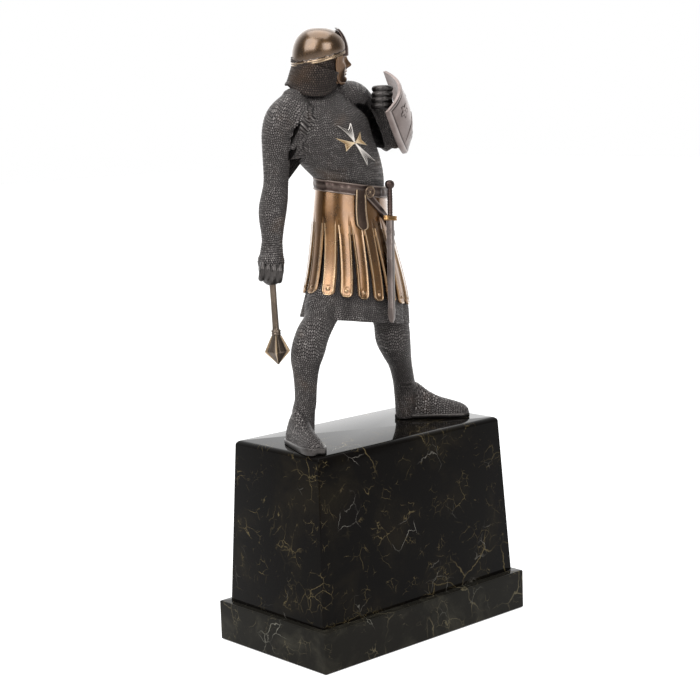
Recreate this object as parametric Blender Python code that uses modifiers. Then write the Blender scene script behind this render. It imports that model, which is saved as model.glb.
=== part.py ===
"""A knight in mail with mace, shield and sword, cast in bronze, on a stepped block of dark marble.

Metres, +Z up. The origin is the middle of the plinth's underside. +X runs along the long side,
towards the figure's left, and the figure's chest faces -Y.
"""
import math

import bmesh
import bpy
import numpy as np
from mathutils import Matrix, Vector

# The marble, in metres
PLINTH_LENGTH = 0.2114
PLINTH_DEPTH = 0.1204
PLINTH_HEIGHT = 0.0306
PLINTH_EDGE = 0.0008
PEDESTAL_FOOT_LENGTH = 0.2003
PEDESTAL_FOOT_DEPTH = 0.1056
PEDESTAL_TOP_LENGTH = 0.1881
PEDESTAL_TOP_DEPTH = 0.0943
PEDESTAL_HEIGHT = 0.1241
PEDESTAL_MOULDING = 0.0033
PEDESTAL_CORNER = 0.0008

# The bronze figure, in metres
FIGURE_HEIGHT = 0.302
BELT_HEIGHT = 0.0084
BELT_THICKNESS = 0.0016
SHEATH_HEIGHT = 0.034
STRAP_COUNT = 18
STRAP_TOP_WIDTH = 0.0087
STRAP_END_WIDTH = 0.0089
STRAP_THICKNESS = 0.0019
STRAP_LENGTH = 0.050
BUCKLE_DIAMETER = 0.0092
BUCKLE_THICKNESS = 0.0016
TONGUE_WIDTH = 0.0098
TONGUE_LENGTH = 0.0300
HANGER_WIDTH = 0.0056
HANGER_THICKNESS = 0.0012
HEM_THICKNESS = 0.0026
HEM_HOLLOW = 0.009
HELMET_BAND_HEIGHT = 0.0042
HELMET_BAND_THICKNESS = 0.0007
SOLE_HEIGHT = 0.0035

# The mace, in metres
MACE_SHAFT_DIAMETER = 0.0048
MACE_SHAFT_LENGTH = 0.0455
MACE_COLLAR_DIAMETER = 0.0070
MACE_COLLAR_HEIGHT = 0.0035
MACE_HEAD_WIDTH = 0.0168
MACE_HEAD_LENGTH = 0.0215

# The shield, in metres
SHIELD_WIDTH = 0.048
SHIELD_LENGTH = 0.057
SHIELD_THICKNESS = 0.0022
SHIELD_TOP_BULGE = 0.0105
SHIELD_MID_BULGE = 0.0135

# The sword in its scabbard, in metres
SCABBARD_LENGTH = 0.076
SCABBARD_WIDTH = 0.0074
SCABBARD_THICKNESS = 0.0044
SCABBARD_BAND_HEIGHT = 0.0022
GUARD_LENGTH = 0.0125
GUARD_HEIGHT = 0.0034
SCABBARD_RIDGE = 0.0004
GRIP_LENGTH = 0.0200
GRIP_DIAMETER = 0.0036
POMMEL_DIAMETER = 0.0078

# Clearance between pieces that are fitted together
FIT_GAP = 0.0003

# The figure's pose and proportions are shares of its height: tables hold 302nds of it,
# measured from the middle of the pedestal's top
FIGURE_SHARES = 302.0
U = FIGURE_HEIGHT / FIGURE_SHARES
GROUND = Vector((0.0, 0.0, PLINTH_HEIGHT + FIT_GAP + PEDESTAL_HEIGHT + FIT_GAP))

# Stacked sections: x, y, z, half width, half depth, lean (+ lowers the +X side) and
# pitch (+ lowers the front) in degrees
TORSO = (
    (-10.0, 0.0, 128.0, 29.0, 20.0, 8.0, 2.0),
    (-11.0, 0.0, 160.0, 28.0, 18.5, 8.0, 4.0),
    (-10.5, 0.0, 184.0, 28.5, 18.8, 7.0, 5.0),
    (-13.5, 0.0, 195.0, 30.5, 20.5, -2.0, 2.0),
    (-20.0, 0.0, 206.0, 32.5, 22.0, -9.0, 0.0),
    (-29.3, 0.0, 219.0, 35.0, 24.0, -11.0, 0.0),
    (-35.0, 0.0, 231.0, 36.5, 24.5, -10.0, 0.0),
    (-39.0, 1.0, 242.0, 31.0, 20.0, -8.0, 0.0),
    (-40.5, 1.0, 250.0, 22.0, 16.0, -7.0, 0.0),
    (-41.0, 1.0, 258.0, 17.0, 15.0, -4.0, 0.0),
)
SKIRT = (
    (-10.5, 0.0, 187.0, 28.3, 18.4, 7.8, 5.3),
    (-11.5, 0.0, 165.0, 30.5, 20.0, 8.0, 4.0),
    (-10.0, 0.0, 145.0, 33.8, 23.3, 8.5, 2.0),
    (-8.0, 0.0, 120.0, 39.0, 27.0, 8.5, 1.0),
    (-8.0, 0.0, 100.0, 43.0, 29.5, 8.5, 0.0),
    (-9.5, 0.0, 85.0, 44.5, 31.0, 8.5, 0.0),
)
BELT_LEVEL = 184.4
# How far the straps' ends sink at the left hip and rise at the right, how far a strap runs up
# under the sheath, the turn of its rounded end in radians, and how far trim stands out of the
# mail and into it
STRAP_RISE = 2.0
STRAP_ROOT = 0.003
STRAP_END_TURN = 1.19
TRIM_LIFT = 0.7
TRIM_ROOT = 3.0
SHEATH_PROUD = 2.4
# Where the buckle, the tongue and the sword's strap lie round the waist, in degrees
BUCKLE_ANGLE = -95.0
TONGUE_ANGLE = -108.0
HANGER_ANGLES = (-96.0, -84.0, -72.0, -60.0, -52.0, -47.0)
HANGER_LEVELS = (181.0, 175.5, 170.5, 165.5, 159.0, 152.0)
SKIRT_FOLDS = 9
SKIRT_FOLD_DEPTH = 1.5
SKIRT_FOLD_GROWTH = 1.5
# The right thigh pushes the skirt out here: its direction round the waist, spread and height
THIGH_PUSH = (-3.1, 0.85, 0.115)
THIGH_GROWTH = 3.0

# Limbs: x, y, z, radius
RIGHT_ARM = (
    (-58.0, 2.0, 249.0, 10.5),
    (-68.5, 2.0, 242.5, 11.8),
    (-74.5, 2.0, 236.0, 12.6),
    (-77.5, 3.0, 227.0, 11.8),
    (-78.3, 4.0, 217.0, 10.6),
    (-78.5, 5.0, 204.0, 9.6),
    (-79.5, 5.0, 192.0, 9.1),
    (-82.0, 4.0, 183.0, 9.8),
    (-84.0, 4.0, 175.0, 10.2),
    (-86.0, 3.0, 167.0, 9.6),
    (-87.3, 2.0, 156.0, 8.0),
    (-88.8, 1.0, 146.0, 7.2),
)
LEFT_ARM = (
    (-20.0, 1.0, 249.0, 12.0),
    (-9.0, 0.0, 250.0, 13.4),
    (1.0, 0.0, 244.0, 12.4),
    (10.5, 0.0, 235.5, 11.0),
    (20.5, 0.0, 226.5, 9.8),
    (31.0, -0.5, 217.5, 9.4),
    (28.0, -4.0, 223.0, 9.9),
    (21.0, -8.5, 231.0, 9.4),
    (14.0, -13.5, 239.0, 7.8),
    (9.0, -17.0, 245.0, 7.2),
)
RIGHT_LEG = (
    (-24.0, 0.0, 142.0, 18.0),
    (-29.0, 0.0, 120.0, 17.0),
    (-35.5, -2.0, 108.0, 16.0),
    (-45.5, -4.0, 99.5, 14.5),
    (-54.5, -8.5, 90.0, 11.6),
    (-63.5, -11.0, 81.5, 12.1),
    (-68.5, -11.5, 72.0, 12.4),
    (-69.5, -9.5, 63.5, 11.4),
    (-69.0, -8.0, 55.0, 9.6),
    (-67.5, -5.5, 42.0, 8.3),
    (-67.0, -4.0, 31.0, 8.1),
    (-69.0, -3.5, 22.0, 8.6),
    (-70.0, -3.0, 0.5, 8.4),
)
LEFT_LEG = (
    (8.0, 0.0, 142.0, 18.0),
    (11.0, -1.0, 118.0, 17.0),
    (13.5, -3.0, 105.0, 15.6),
    (15.7, -6.0, 94.0, 14.2),
    (17.6, -9.0, 81.0, 13.4),
    (18.6, -9.5, 69.0, 13.4),
    (24.0, -7.0, 59.0, 11.6),
    (32.6, -2.0, 47.0, 9.2),
    (40.3, 3.0, 34.0, 8.5),
    (45.5, 6.5, 22.0, 8.7),
    (47.5, 7.5, 0.5, 8.5),
)
# Feet: how far from the heel, half width, height
FOOT_SECTIONS = (
    (0.0, 4.0, 8.0),
    (3.0, 7.0, 16.0),
    (9.0, 8.4, 24.0),
    (15.0, 8.5, 28.0),
    (20.0, 8.6, 25.5),
    (26.0, 8.8, 20.5),
    (34.0, 8.8, 16.0),
    (42.0, 8.8, 13.4),
    (49.0, 8.2, 11.2),
    (54.0, 6.8, 8.8),
    (57.0, 4.2, 5.6),
)
SOLE_WIDENING = 0.7
RIGHT_HEEL = (-69.0, 9.5)
RIGHT_TOE = (-89.0, -41.5)
LEFT_HEEL = (43.0, 15.0)
LEFT_TOE = (83.0, -26.0)

# Rounded masses: centre and radii
MASSES = (
    (-46.0, -10.5, 227.0, 19.0, 11.5, 14.0),
    (-22.0, -11.0, 229.0, 18.0, 11.5, 13.0),
    (-52.0, 14.0, 230.0, 14.0, 9.0, 15.0),
    (-24.0, 14.0, 235.0, 14.0, 9.0, 15.0),
    (-69.5, 1.5, 238.5, 12.5, 13.5, 13.5),
    (-8.0, 0.0, 249.0, 13.0, 13.5, 14.0),
    (-62.0, -3.5, 236.0, 15.0, 13.0, 15.0),
    (-64.0, -1.5, 224.0, 13.0, 12.0, 14.0),
    (-65.5, 1.0, 216.5, 10.0, 10.5, 8.5),
    (-52.0, 3.0, 256.5, 17.0, 13.0, 10.0),
)
SHOULDER_LINE = (
    (-66.0, 3.0, 247.5, 9.0),
    (-52.0, 3.0, 253.0, 11.5),
    (-40.0, 2.0, 256.0, 13.0),
    (-26.0, 2.0, 255.0, 11.5),
    (-12.0, 1.0, 253.0, 10.0),
)

# The head: centre, the way it faces, its tilt, and its masses in its own frame
# (forward, to its left, up)
HEAD_CENTRE = (-39.8, -1.8, 282.0)
HEAD_TURN = 57.0
HEAD_TILT = -8.0
NECK = (
    (-45.0, 5.0, 248.0, 15.5),
    (-44.0, 3.0, 260.0, 16.5),
    (-43.0, 1.0, 268.0, 16.8),
    (-41.0, -1.5, 276.0, 17.0),
)
COIF_CENTRE = (-2.5, 0.0, -4.0)
COIF_RADII = (18.3, 16.4, 19.5)
HELMET_CENTRE = (0.0, 0.0, 1.2)
HELMET_RADII = (20.3, 17.6, 19.2)
HELMET_FULLNESS = 2.25
HELMET_RIM = -3.8
HELMET_RIM_SLOPE = 0.17
FACE_WIDTH = 12.2
FACE_TOP = 8.0
FACE_CHIN = -20.0
FACE_DEPTH = 19.0
# Soft rises and hollows of a calm, even face: height, place across and up, size across and up
FACE_FORMS = (
    (3.6, 0.0, 0.44, 0.13, 0.085),
    (2.2, 0.0, 0.56, 0.11, 0.14),
    (0.8, 0.17, 0.42, 0.10, 0.045),
    (-2.0, 0.36, 0.60, 0.19, 0.075),
    (1.0, 0.37, 0.595, 0.13, 0.045),
    (1.0, 0.33, 0.70, 0.30, 0.045),
    (0.9, 0.52, 0.44, 0.20, 0.10),
    (1.3, 0.0, 0.285, 0.26, 0.040),
    (1.1, 0.0, 0.215, 0.20, 0.036),
    (-0.7, 0.0, 0.250, 0.24, 0.014),
    (1.7, 0.0, 0.075, 0.24, 0.085),
)
FACE_JAW_BEND = 4.2
FACE_JAW_TOP = 0.34
# The plate at the brow: its foot and top above the head's centre, half width, how far it
# stands before the cap and behind its skin, and its lift
BROW_PLATE = (-2.0, 17.0, 8.0, 1.7, 2.5, 2.0)

# Hands
RIGHT_FIST = (-92.0, -1.0, 132.0)
RIGHT_FIST_RADII = (9.4, 9.0, 12.5)
LEFT_FIST = (4.0, -20.8, 250.0)
LEFT_FIST_RADII = (7.4, 7.4, 8.4)
FINGERS = 4
FINGER_RADIUS = 2.4
FINGER_PITCH = 1.75
FINGER_BEND = 1.15
# Fingers of each hand: middle, reach of the bend, the row's direction, the way they curl, the
# way they face
RIGHT_FINGERS = ((-93.3, -2.2, 130.0), 6.4, (0.75, -0.60, -0.15), (0.0, 0.25, -1.0), (-0.62, -0.78, 0.0))
LEFT_FINGERS = (LEFT_FIST, 6.6, (0.1, 0.0, 1.0), (0.72, -0.68, 0.0), (-0.70, -0.70, 0.1))

# What the hands and the belt carry, in the figure's frame
MACE_TOP = (-92.3, -1.6, 133.0)
MACE_CORNER = (-0.69, -0.72, 0.0)
MACE_WIDEST_AT = 0.55
MACE_TIP = 0.06
MACE_DIRECTION = (0.008, -0.040, -1.0)
SHIELD_TOP_MIDDLE = (6.6, -23.4, 254.9)
SHIELD_DOWN = (0.600, 0.262, -0.775)
SHIELD_FACE = (0.636, -0.756, 0.154)
# The share of the shield's length with straight sides, and how the sides run into the point
SHIELD_STRAIGHT = 0.28
SHIELD_POINT = 2.1
# Where the arm and the hand are strapped to the shield: how far down it, radius and reach
ARM_PAD = (0.52, 5.0, 15.0)
GRIP_PAD = (0.10, 4.5, 11.0)
SWORD_MOUTH = (3.4, -26.3, 160.0)
SWORD_DIRECTION = (-0.122, -0.108, -1.0)
SWORD_OUTWARD = (-0.10, -0.99, 0.05)
SCABBARD_BANDS = (0.10, 0.20)
CHAPE_TOP = 0.86
CHAPE_MIDDLE = 0.95
# The pommel: shares of its radius above the grip, across and through
POMMEL_PROFILE = ((1.7, 0.35, 0.35), (1.45, 0.85, 0.7), (0.85, 1.0, 0.8), (0.25, 0.8, 0.65))

# Fineness of the meshes
RING_POINTS = 32
SMOOTH_STEPS = 4
BODY_VOXEL = 1.0
HEAD_VOXEL = 0.6
BODY_SMOOTHING = 6
HEAD_SMOOTHING = 2
BODY_KEEP = 0.0155
HEAD_KEEP = 0.016


def unit(vector):
    """The vector at length one."""
    vector = np.asarray(vector, dtype=float)
    return vector / np.linalg.norm(vector)


def smooth_rows(rows, steps):
    """Rows along a smooth curve through the given rows (Catmull-Rom), steps to each span."""
    rows = np.asarray(rows, dtype=float)
    padded = np.vstack([2 * rows[0] - rows[1], rows, 2 * rows[-1] - rows[-2]])
    out = []
    for index in range(len(rows) - 1):
        before, start, end, after = padded[index:index + 4]
        for step in range(steps):
            t = step / steps
            out.append(0.5 * (2 * start + (end - before) * t
                              + (2 * before - 5 * start + 4 * end - after) * t * t
                              + (3 * start - before - 3 * end + after) * t ** 3))
    out.append(rows[-1])
    return np.array(out)


def turns(count=RING_POINTS):
    """Evenly spaced angles round a ring."""
    return np.arange(count) * 2 * math.pi / count


def to_world(points):
    """Points in shares of the figure's height, carried to metres on the pedestal."""
    return np.asarray(points, dtype=float) * U + np.array(GROUND)


def section_points(row, angles, scale=1.0, proud=0.0):
    """Points of one stacked section at some angles, leaned and pitched, standing proud of it."""
    x, y, z, wide, deep, lean, pitch = row
    tip, nod = math.radians(lean), math.radians(pitch)
    along = (wide * scale + proud) * np.cos(angles)
    across = (deep * scale + proud) * np.sin(angles)
    return np.stack([x + along * math.cos(tip), y + across * math.cos(nod),
                     z - along * math.sin(tip) + across * math.sin(nod)], axis=-1)


def stack_rings(rows, wave=None):
    """Elliptical rings, each leaned and pitched; wave(angles, share) scales a ring's radii."""
    rings = []
    angles = turns()
    for index, row in enumerate(rows):
        scale = 1.0 if wave is None else wave(angles, index / (len(rows) - 1))
        rings.append(section_points(row, angles, scale))
    return np.array(rings)


def limb_rings(rows):
    """Round rings square to a limb's own path."""
    rows = np.asarray(rows, dtype=float)
    path = rows[:, :3]
    ahead = np.gradient(path, axis=0)
    ahead /= np.linalg.norm(ahead, axis=1)[:, None]
    side = np.cross(ahead, np.array([0.0, -1.0, 0.0]))
    side /= np.linalg.norm(side, axis=1)[:, None]
    front = np.cross(side, ahead)
    angles = turns()
    round_about = (np.cos(angles)[None, :, None] * side[:, None, :]
                   + np.sin(angles)[None, :, None] * front[:, None, :])
    return path[:, None, :] + rows[:, 3][:, None, None] * round_about


def add_tube(mesh, rings):
    """Skin closed rings into a tube with a fan cap at both ends."""
    count = len(rings[0])
    verts = [[mesh.verts.new(point) for point in ring] for ring in rings]
    for lower, upper in zip(verts[:-1], verts[1:]):
        for index in range(count):
            after = (index + 1) % count
            mesh.faces.new((lower[index], lower[after], upper[after], upper[index]))
    for ring, points in ((verts[0], rings[0]), (verts[-1], rings[-1])):
        middle = mesh.verts.new(np.mean(points, axis=0))
        for index in range(count):
            mesh.faces.new((ring[index], ring[(index + 1) % count], middle))


def add_slab(mesh, outer, inner):
    """Close two equal grids of points, an outer and an inner skin, into one slab."""
    rows, columns = outer.shape[:2]
    skins = [[[mesh.verts.new(point) for point in row] for row in skin] for skin in (outer, inner)]
    for skin in skins:
        for row in range(rows - 1):
            for column in range(columns - 1):
                mesh.faces.new((skin[row][column], skin[row][column + 1],
                                skin[row + 1][column + 1], skin[row + 1][column]))
    border = [(0, column) for column in range(columns)]
    border += [(row, columns - 1) for row in range(1, rows)]
    border += [(rows - 1, column) for column in range(columns - 2, -1, -1)]
    border += [(row, 0) for row in range(rows - 2, 0, -1)]
    for here, after in zip(border, border[1:] + border[:1]):
        mesh.faces.new((skins[0][here[0]][here[1]], skins[0][after[0]][after[1]],
                        skins[1][after[0]][after[1]], skins[1][here[0]][here[1]]))


def add_ball(mesh, centre, radii, turn=None, segments=28):
    """An ellipsoid at a centre in metres, turned by a matrix."""
    place = Matrix.Translation(Vector(centre))
    if turn is not None:
        place = place @ turn
    bmesh.ops.create_uvsphere(mesh, u_segments=segments, v_segments=segments // 2, radius=1.0,
                              matrix=place @ Matrix.Diagonal((*radii, 1.0)))


def new_object(name, mesh, collection, material=None):
    """Turn a bmesh into an object with outward faces."""
    bmesh.ops.recalc_face_normals(mesh, faces=mesh.faces)
    bmesh.ops.triangulate(mesh, faces=mesh.faces)
    data = bpy.data.meshes.new(name)
    mesh.to_mesh(data)
    mesh.free()
    if material is not None:
        data.materials.append(material)
    thing = bpy.data.objects.new(name, data)
    collection.objects.link(thing)
    return thing


def make_material(name, colour, roughness, metallic):
    """A plain Principled finish."""
    material = bpy.data.materials.new(name)
    material.use_nodes = True
    shader = material.node_tree.nodes["Principled BSDF"]
    shader.inputs["Base Color"].default_value = (*colour, 1.0)
    shader.inputs["Roughness"].default_value = roughness
    shader.inputs["Metallic"].default_value = metallic
    return material


def hide_cutter(thing):
    """Mark an object as a guide that only shapes others."""
    thing.hide_render = True
    thing.display_type = "WIRE"


def add_boolean(thing, other, operation):
    """Join or cut a piece with another object or a collection of them."""
    modifier = thing.modifiers.new(operation.title(), "BOOLEAN")
    modifier.operation = operation
    modifier.solver = "EXACT"
    if isinstance(other, bpy.types.Collection):
        modifier.operand_type = "COLLECTION"
        modifier.collection = other
    else:
        modifier.object = other
    return modifier


def add_remesh(thing, voxel, smoothing, keep):
    """Melt overlapping masses into one skin, soften it and thin its faces."""
    remesh = thing.modifiers.new("Melt", "REMESH")
    remesh.mode = "VOXEL"
    remesh.voxel_size = voxel * U
    smooth = thing.modifiers.new("Soften", "SMOOTH")
    smooth.factor = 0.5
    smooth.iterations = smoothing
    thin = thing.modifiers.new("Thin", "DECIMATE")
    thin.ratio = keep


def settle(thing):
    """Replace an object's mesh by the mesh its modifiers make."""
    depsgraph = bpy.context.evaluated_depsgraph_get()
    data = bpy.data.meshes.new_from_object(thing.evaluated_get(depsgraph))
    thing.modifiers.clear()
    thing.data = data


def build_plinth(collection, marble):
    """The low slab of marble, with a fine bevel on its edges."""
    mesh = bmesh.new()
    size = Matrix.Diagonal((PLINTH_LENGTH, PLINTH_DEPTH, PLINTH_HEIGHT, 1.0))
    centre = Matrix.Translation((0.0, 0.0, PLINTH_HEIGHT / 2))
    bmesh.ops.create_cube(mesh, size=1.0, matrix=centre @ size)
    plinth = new_object("plinth", mesh, collection, marble)
    bevel = plinth.modifiers.new("Edges", "BEVEL")
    bevel.width = PLINTH_EDGE
    bevel.segments = 1


def build_pedestal(collection, marble):
    """The tapered block, with a rounded moulding round its top."""
    mesh = bmesh.new()
    bottom = PLINTH_HEIGHT + FIT_GAP
    bmesh.ops.create_cube(mesh, size=1.0)
    for vert in mesh.verts:
        is_top = vert.co.z > 0
        length = PEDESTAL_TOP_LENGTH if is_top else PEDESTAL_FOOT_LENGTH
        depth = PEDESTAL_TOP_DEPTH if is_top else PEDESTAL_FOOT_DEPTH
        vert.co = (vert.co.x * length, vert.co.y * depth,
                   bottom + (PEDESTAL_HEIGHT if is_top else 0.0))
    top = bottom + PEDESTAL_HEIGHT
    uprights = [edge for edge in mesh.edges if abs(edge.verts[0].co.z - edge.verts[1].co.z) > 1e-6]
    bmesh.ops.bevel(mesh, geom=uprights, offset=PEDESTAL_CORNER, segments=1, affect="EDGES")
    rim = [edge for edge in mesh.edges if all(vert.co.z > top - 1e-6 for vert in edge.verts)]
    bmesh.ops.bevel(mesh, geom=rim, offset=PEDESTAL_MOULDING, segments=3, profile=0.6, affect="EDGES")
    new_object("pedestal", mesh, collection, marble)


def skirt_row(level):
    """The mail skirt's section at a height, read from the smooth table."""
    rows = smooth_rows(SKIRT, SMOOTH_STEPS * 2)[::-1]
    return np.array([np.interp(level, rows[:, 2], rows[:, column]) for column in range(7)])


def thigh_swell(angles, share):
    """How much the right thigh widens the skirt, growing towards the hem."""
    middle, spread, height = THIGH_PUSH
    away = np.mod(np.asarray(angles) - middle + math.pi, 2 * math.pi) - math.pi
    return height * share ** THIGH_GROWTH * np.exp(-(away / spread) ** 2)


def fold_wave(angles, share):
    """Soft vertical folds that deepen towards the hem, over the swell of the thigh."""
    depth = SKIRT_FOLD_DEPTH / SKIRT[-1][3] * share ** SKIRT_FOLD_GROWTH
    waves = np.sin(SKIRT_FOLDS * angles) + 0.4 * np.sin(2 * SKIRT_FOLDS * angles + 1.0)
    return 1.0 + depth * waves + thigh_swell(angles, share)


def skirt_points(angles, level, proud):
    """Points on the skirt's smooth form at some angles and one height, standing proud of it."""
    share = (SKIRT[0][2] - level) / (SKIRT[0][2] - SKIRT[-1][2])
    return section_points(skirt_row(level), angles, 1.0 + thigh_swell(angles, share), proud)


def add_skirt(mesh):
    """The mail skirt, hollowed under the hem."""
    rows = smooth_rows(SKIRT, SMOOTH_STEPS)
    rings = list(stack_rings(rows, fold_wave))
    hem = rows[-1].copy()
    wall = HEM_THICKNESS / U
    for rise, inset in ((0.0, wall), (HEM_HOLLOW / U, wall * 1.6)):
        inner = hem.copy()
        inner[2] += rise
        inner[3:5] -= inset
        rings.append(stack_rings([inner, inner], lambda angles, share: fold_wave(angles, 1.0))[0])
    add_tube(mesh, to_world(rings))


def foot_frame(heel, toe):
    """A foot's start on the ground, its forward and sideways directions and its length."""
    start = np.array([*heel, 0.0])
    run = np.array([*toe, 0.0]) - start
    forward = unit(run)
    side = np.array([-forward[1], forward[0], 0.0])
    return start, forward, side, np.linalg.norm(run)


def foot_rings(heel, toe, widen=0.0, cap_height=None):
    """Upright half-round sections from the heel to the toe, centred on the ground."""
    start, forward, side, length = foot_frame(heel, toe)
    stretch = length / FOOT_SECTIONS[-1][0]
    rings = []
    for along, half, height in smooth_rows(FOOT_SECTIONS, 2):
        angles = turns()
        tall = height if cap_height is None else min(height, cap_height)
        middle = start + forward * along * stretch
        rings.append(middle + side * np.cos(angles)[:, None] * (half + widen)
                     + np.array([0.0, 0.0, 1.0]) * np.sin(angles)[:, None] * tall)
    return np.array(rings)


def head_matrix():
    """The head's own frame: forward, to its left, up."""
    turn = Matrix.Rotation(math.radians(HEAD_TURN - 90.0), 3, "Z")
    tilt = Matrix.Rotation(math.radians(-HEAD_TILT), 3, "X")
    return np.array(turn @ tilt)


def head_to_world(points):
    """Points in the head's frame, carried to metres."""
    return to_world(np.asarray(points, dtype=float) @ head_matrix().T + np.array(HEAD_CENTRE))


def bump(x, y, at, size):
    """A soft round rise of one at a point."""
    return np.exp(-((x - at[0]) / size[0]) ** 2 - ((y - at[1]) / size[1]) ** 2)


def face_depth(across, up):
    """How far forward a calm, evenly proportioned face stands at each place of its oval.

    across runs from -1 to 1 over the face's width, up from 0 at the chin to 1 at the hairline.
    """
    side = np.abs(across)
    depth = FACE_DEPTH * np.sqrt(np.clip(1.0 - 0.62 * side ** 2.2, 0.0, 1.0))
    depth = depth - FACE_JAW_BEND * np.clip(FACE_JAW_TOP - up, 0.0, 1.0) ** 1.2 * (0.4 + side)
    for height, at_side, at_up, wide, tall in FACE_FORMS:
        depth = depth + height * bump(side, up, (at_side, at_up), (wide, tall))
    return depth


def face_skins(columns=33, rows=41):
    """The face's front as a grid in the head's frame, and the plane grid behind it."""
    up = np.linspace(0.0, 1.0, rows)[:, None] * np.ones(columns)
    across = np.ones(rows)[:, None] * np.linspace(-1.0, 1.0, columns)
    narrow = np.sqrt(np.clip(1.0 - (0.58 * (1.0 - up)) ** 2.2, 0.0, 1.0)) * (1.0 - 0.32 * (1 - up) ** 3)
    left = across * FACE_WIDTH * narrow
    height = FACE_CHIN + (FACE_TOP - FACE_CHIN) * up
    front = np.stack([face_depth(across, up), left, height], axis=-1)
    back = np.stack([np.zeros_like(left), left, height], axis=-1)
    return front, back


def helmet_rings(thickness=0.0, low=None, high=None):
    """The cap's rings from its rim to its crown; the rim slopes up towards the brow."""
    rings = []
    low = HELMET_RIM if low is None else low
    top = HELMET_RADII[2] * 0.999 if high is None else high
    angles = turns(24)
    for share in np.linspace(0.0, 1.0, 9 if high is None else 2):
        level = low + (top - low) * (math.sin(share * math.pi / 2) if high is None else share)
        round_off = max(1.0 - abs(level / HELMET_RADII[2]) ** HELMET_FULLNESS, 1e-5)
        reach = round_off ** (1.0 / HELMET_FULLNESS) + thickness / HELMET_RADII[1]
        forward = HELMET_RADII[0] * reach * np.cos(angles)
        left = HELMET_RADII[1] * reach * np.sin(angles)
        fade = 1.0 - max(level - HELMET_RIM, 0.0) / (HELMET_RADII[2] - HELMET_RIM)
        height = level + HELMET_RIM_SLOPE * forward * fade
        rings.append(np.stack([forward, left, height], axis=1) + np.array(HELMET_CENTRE))
    return head_to_world(rings)


def add_fingers(mesh, centre, radii, stack, curl, out):
    """Four bent fingers side by side on a fist: stack is the row's direction, out the way they face."""
    stack, curl, out = unit(stack), unit(curl), unit(out)
    for index in range(FINGERS):
        offset = (index - (FINGERS - 1) / 2) * FINGER_RADIUS * FINGER_PITCH
        path = []
        for angle in np.linspace(-FINGER_BEND, FINGER_BEND, 5):
            path.append([*(np.array(centre) + stack * offset
                           + out * radii * math.cos(angle) + curl * radii * math.sin(angle)),
                         FINGER_RADIUS])
        add_tube(mesh, to_world(limb_rings_facing(path, stack)))


def limb_rings_facing(rows, hint):
    """Rings square to a path whose sideways direction is a given hint."""
    rows = np.asarray(rows, dtype=float)
    ahead = np.gradient(rows[:, :3], axis=0)
    ahead /= np.linalg.norm(ahead, axis=1)[:, None]
    other = np.cross(ahead, hint)
    other /= np.linalg.norm(other, axis=1)[:, None]
    side = np.cross(other, ahead)
    angles = turns(12)
    about = (np.cos(angles)[None, :, None] * side[:, None, :]
             + np.sin(angles)[None, :, None] * other[:, None, :])
    return rows[:, None, :3] + rows[:, 3][:, None, None] * about


def build_body():
    """Everything of the figure that is soft in form: mail, limbs, hands and feet."""
    mesh = bmesh.new()
    add_tube(mesh, to_world(stack_rings(smooth_rows(TORSO, SMOOTH_STEPS))))
    add_skirt(mesh)
    for rows in (RIGHT_ARM, LEFT_ARM, RIGHT_LEG, LEFT_LEG, SHOULDER_LINE, NECK):
        add_tube(mesh, to_world(limb_rings(smooth_rows(rows, SMOOTH_STEPS))))
    face = axis_frame(SHIELD_DOWN, SHIELD_FACE)[1]
    for along, radius, reach in (ARM_PAD, GRIP_PAD):
        end = (shield_middle(along) - np.array(GROUND)) / U
        start = end - face * reach
        add_tube(mesh, to_world(limb_rings([(*start, radius), (*end, radius)])))
    for x, y, z, wide, deep, tall in MASSES:
        add_ball(mesh, to_world((x, y, z)), (wide * U, deep * U, tall * U))
    for rows in (RIGHT_ARM, LEFT_ARM):
        x, y, z, radius = rows[-1]
        add_ball(mesh, to_world((x, y, z)), (radius * U,) * 3)
    for heel, toe in ((RIGHT_HEEL, RIGHT_TOE), (LEFT_HEEL, LEFT_TOE)):
        add_tube(mesh, to_world(foot_rings(heel, toe)))
        add_tube(mesh, to_world(foot_rings(heel, toe, SOLE_WIDENING, SOLE_HEIGHT / U)))
    add_ball(mesh, to_world(RIGHT_FIST), [radius * U for radius in RIGHT_FIST_RADII])
    add_ball(mesh, to_world(LEFT_FIST), [radius * U for radius in LEFT_FIST_RADII])
    add_fingers(mesh, *RIGHT_FINGERS)
    add_fingers(mesh, *LEFT_FINGERS)
    return mesh


def build_head():
    """The hood of mail, the face in its opening and the neck that joins the shoulders."""
    mesh = bmesh.new()
    turn = Matrix(head_matrix()).to_4x4()
    add_ball(mesh, head_to_world(COIF_CENTRE), [radius * U for radius in COIF_RADII], turn)
    add_tube(mesh, to_world(limb_rings(smooth_rows(NECK, SMOOTH_STEPS))))
    front, back = face_skins()
    add_slab(mesh, head_to_world(front), head_to_world(back))
    return mesh


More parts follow.
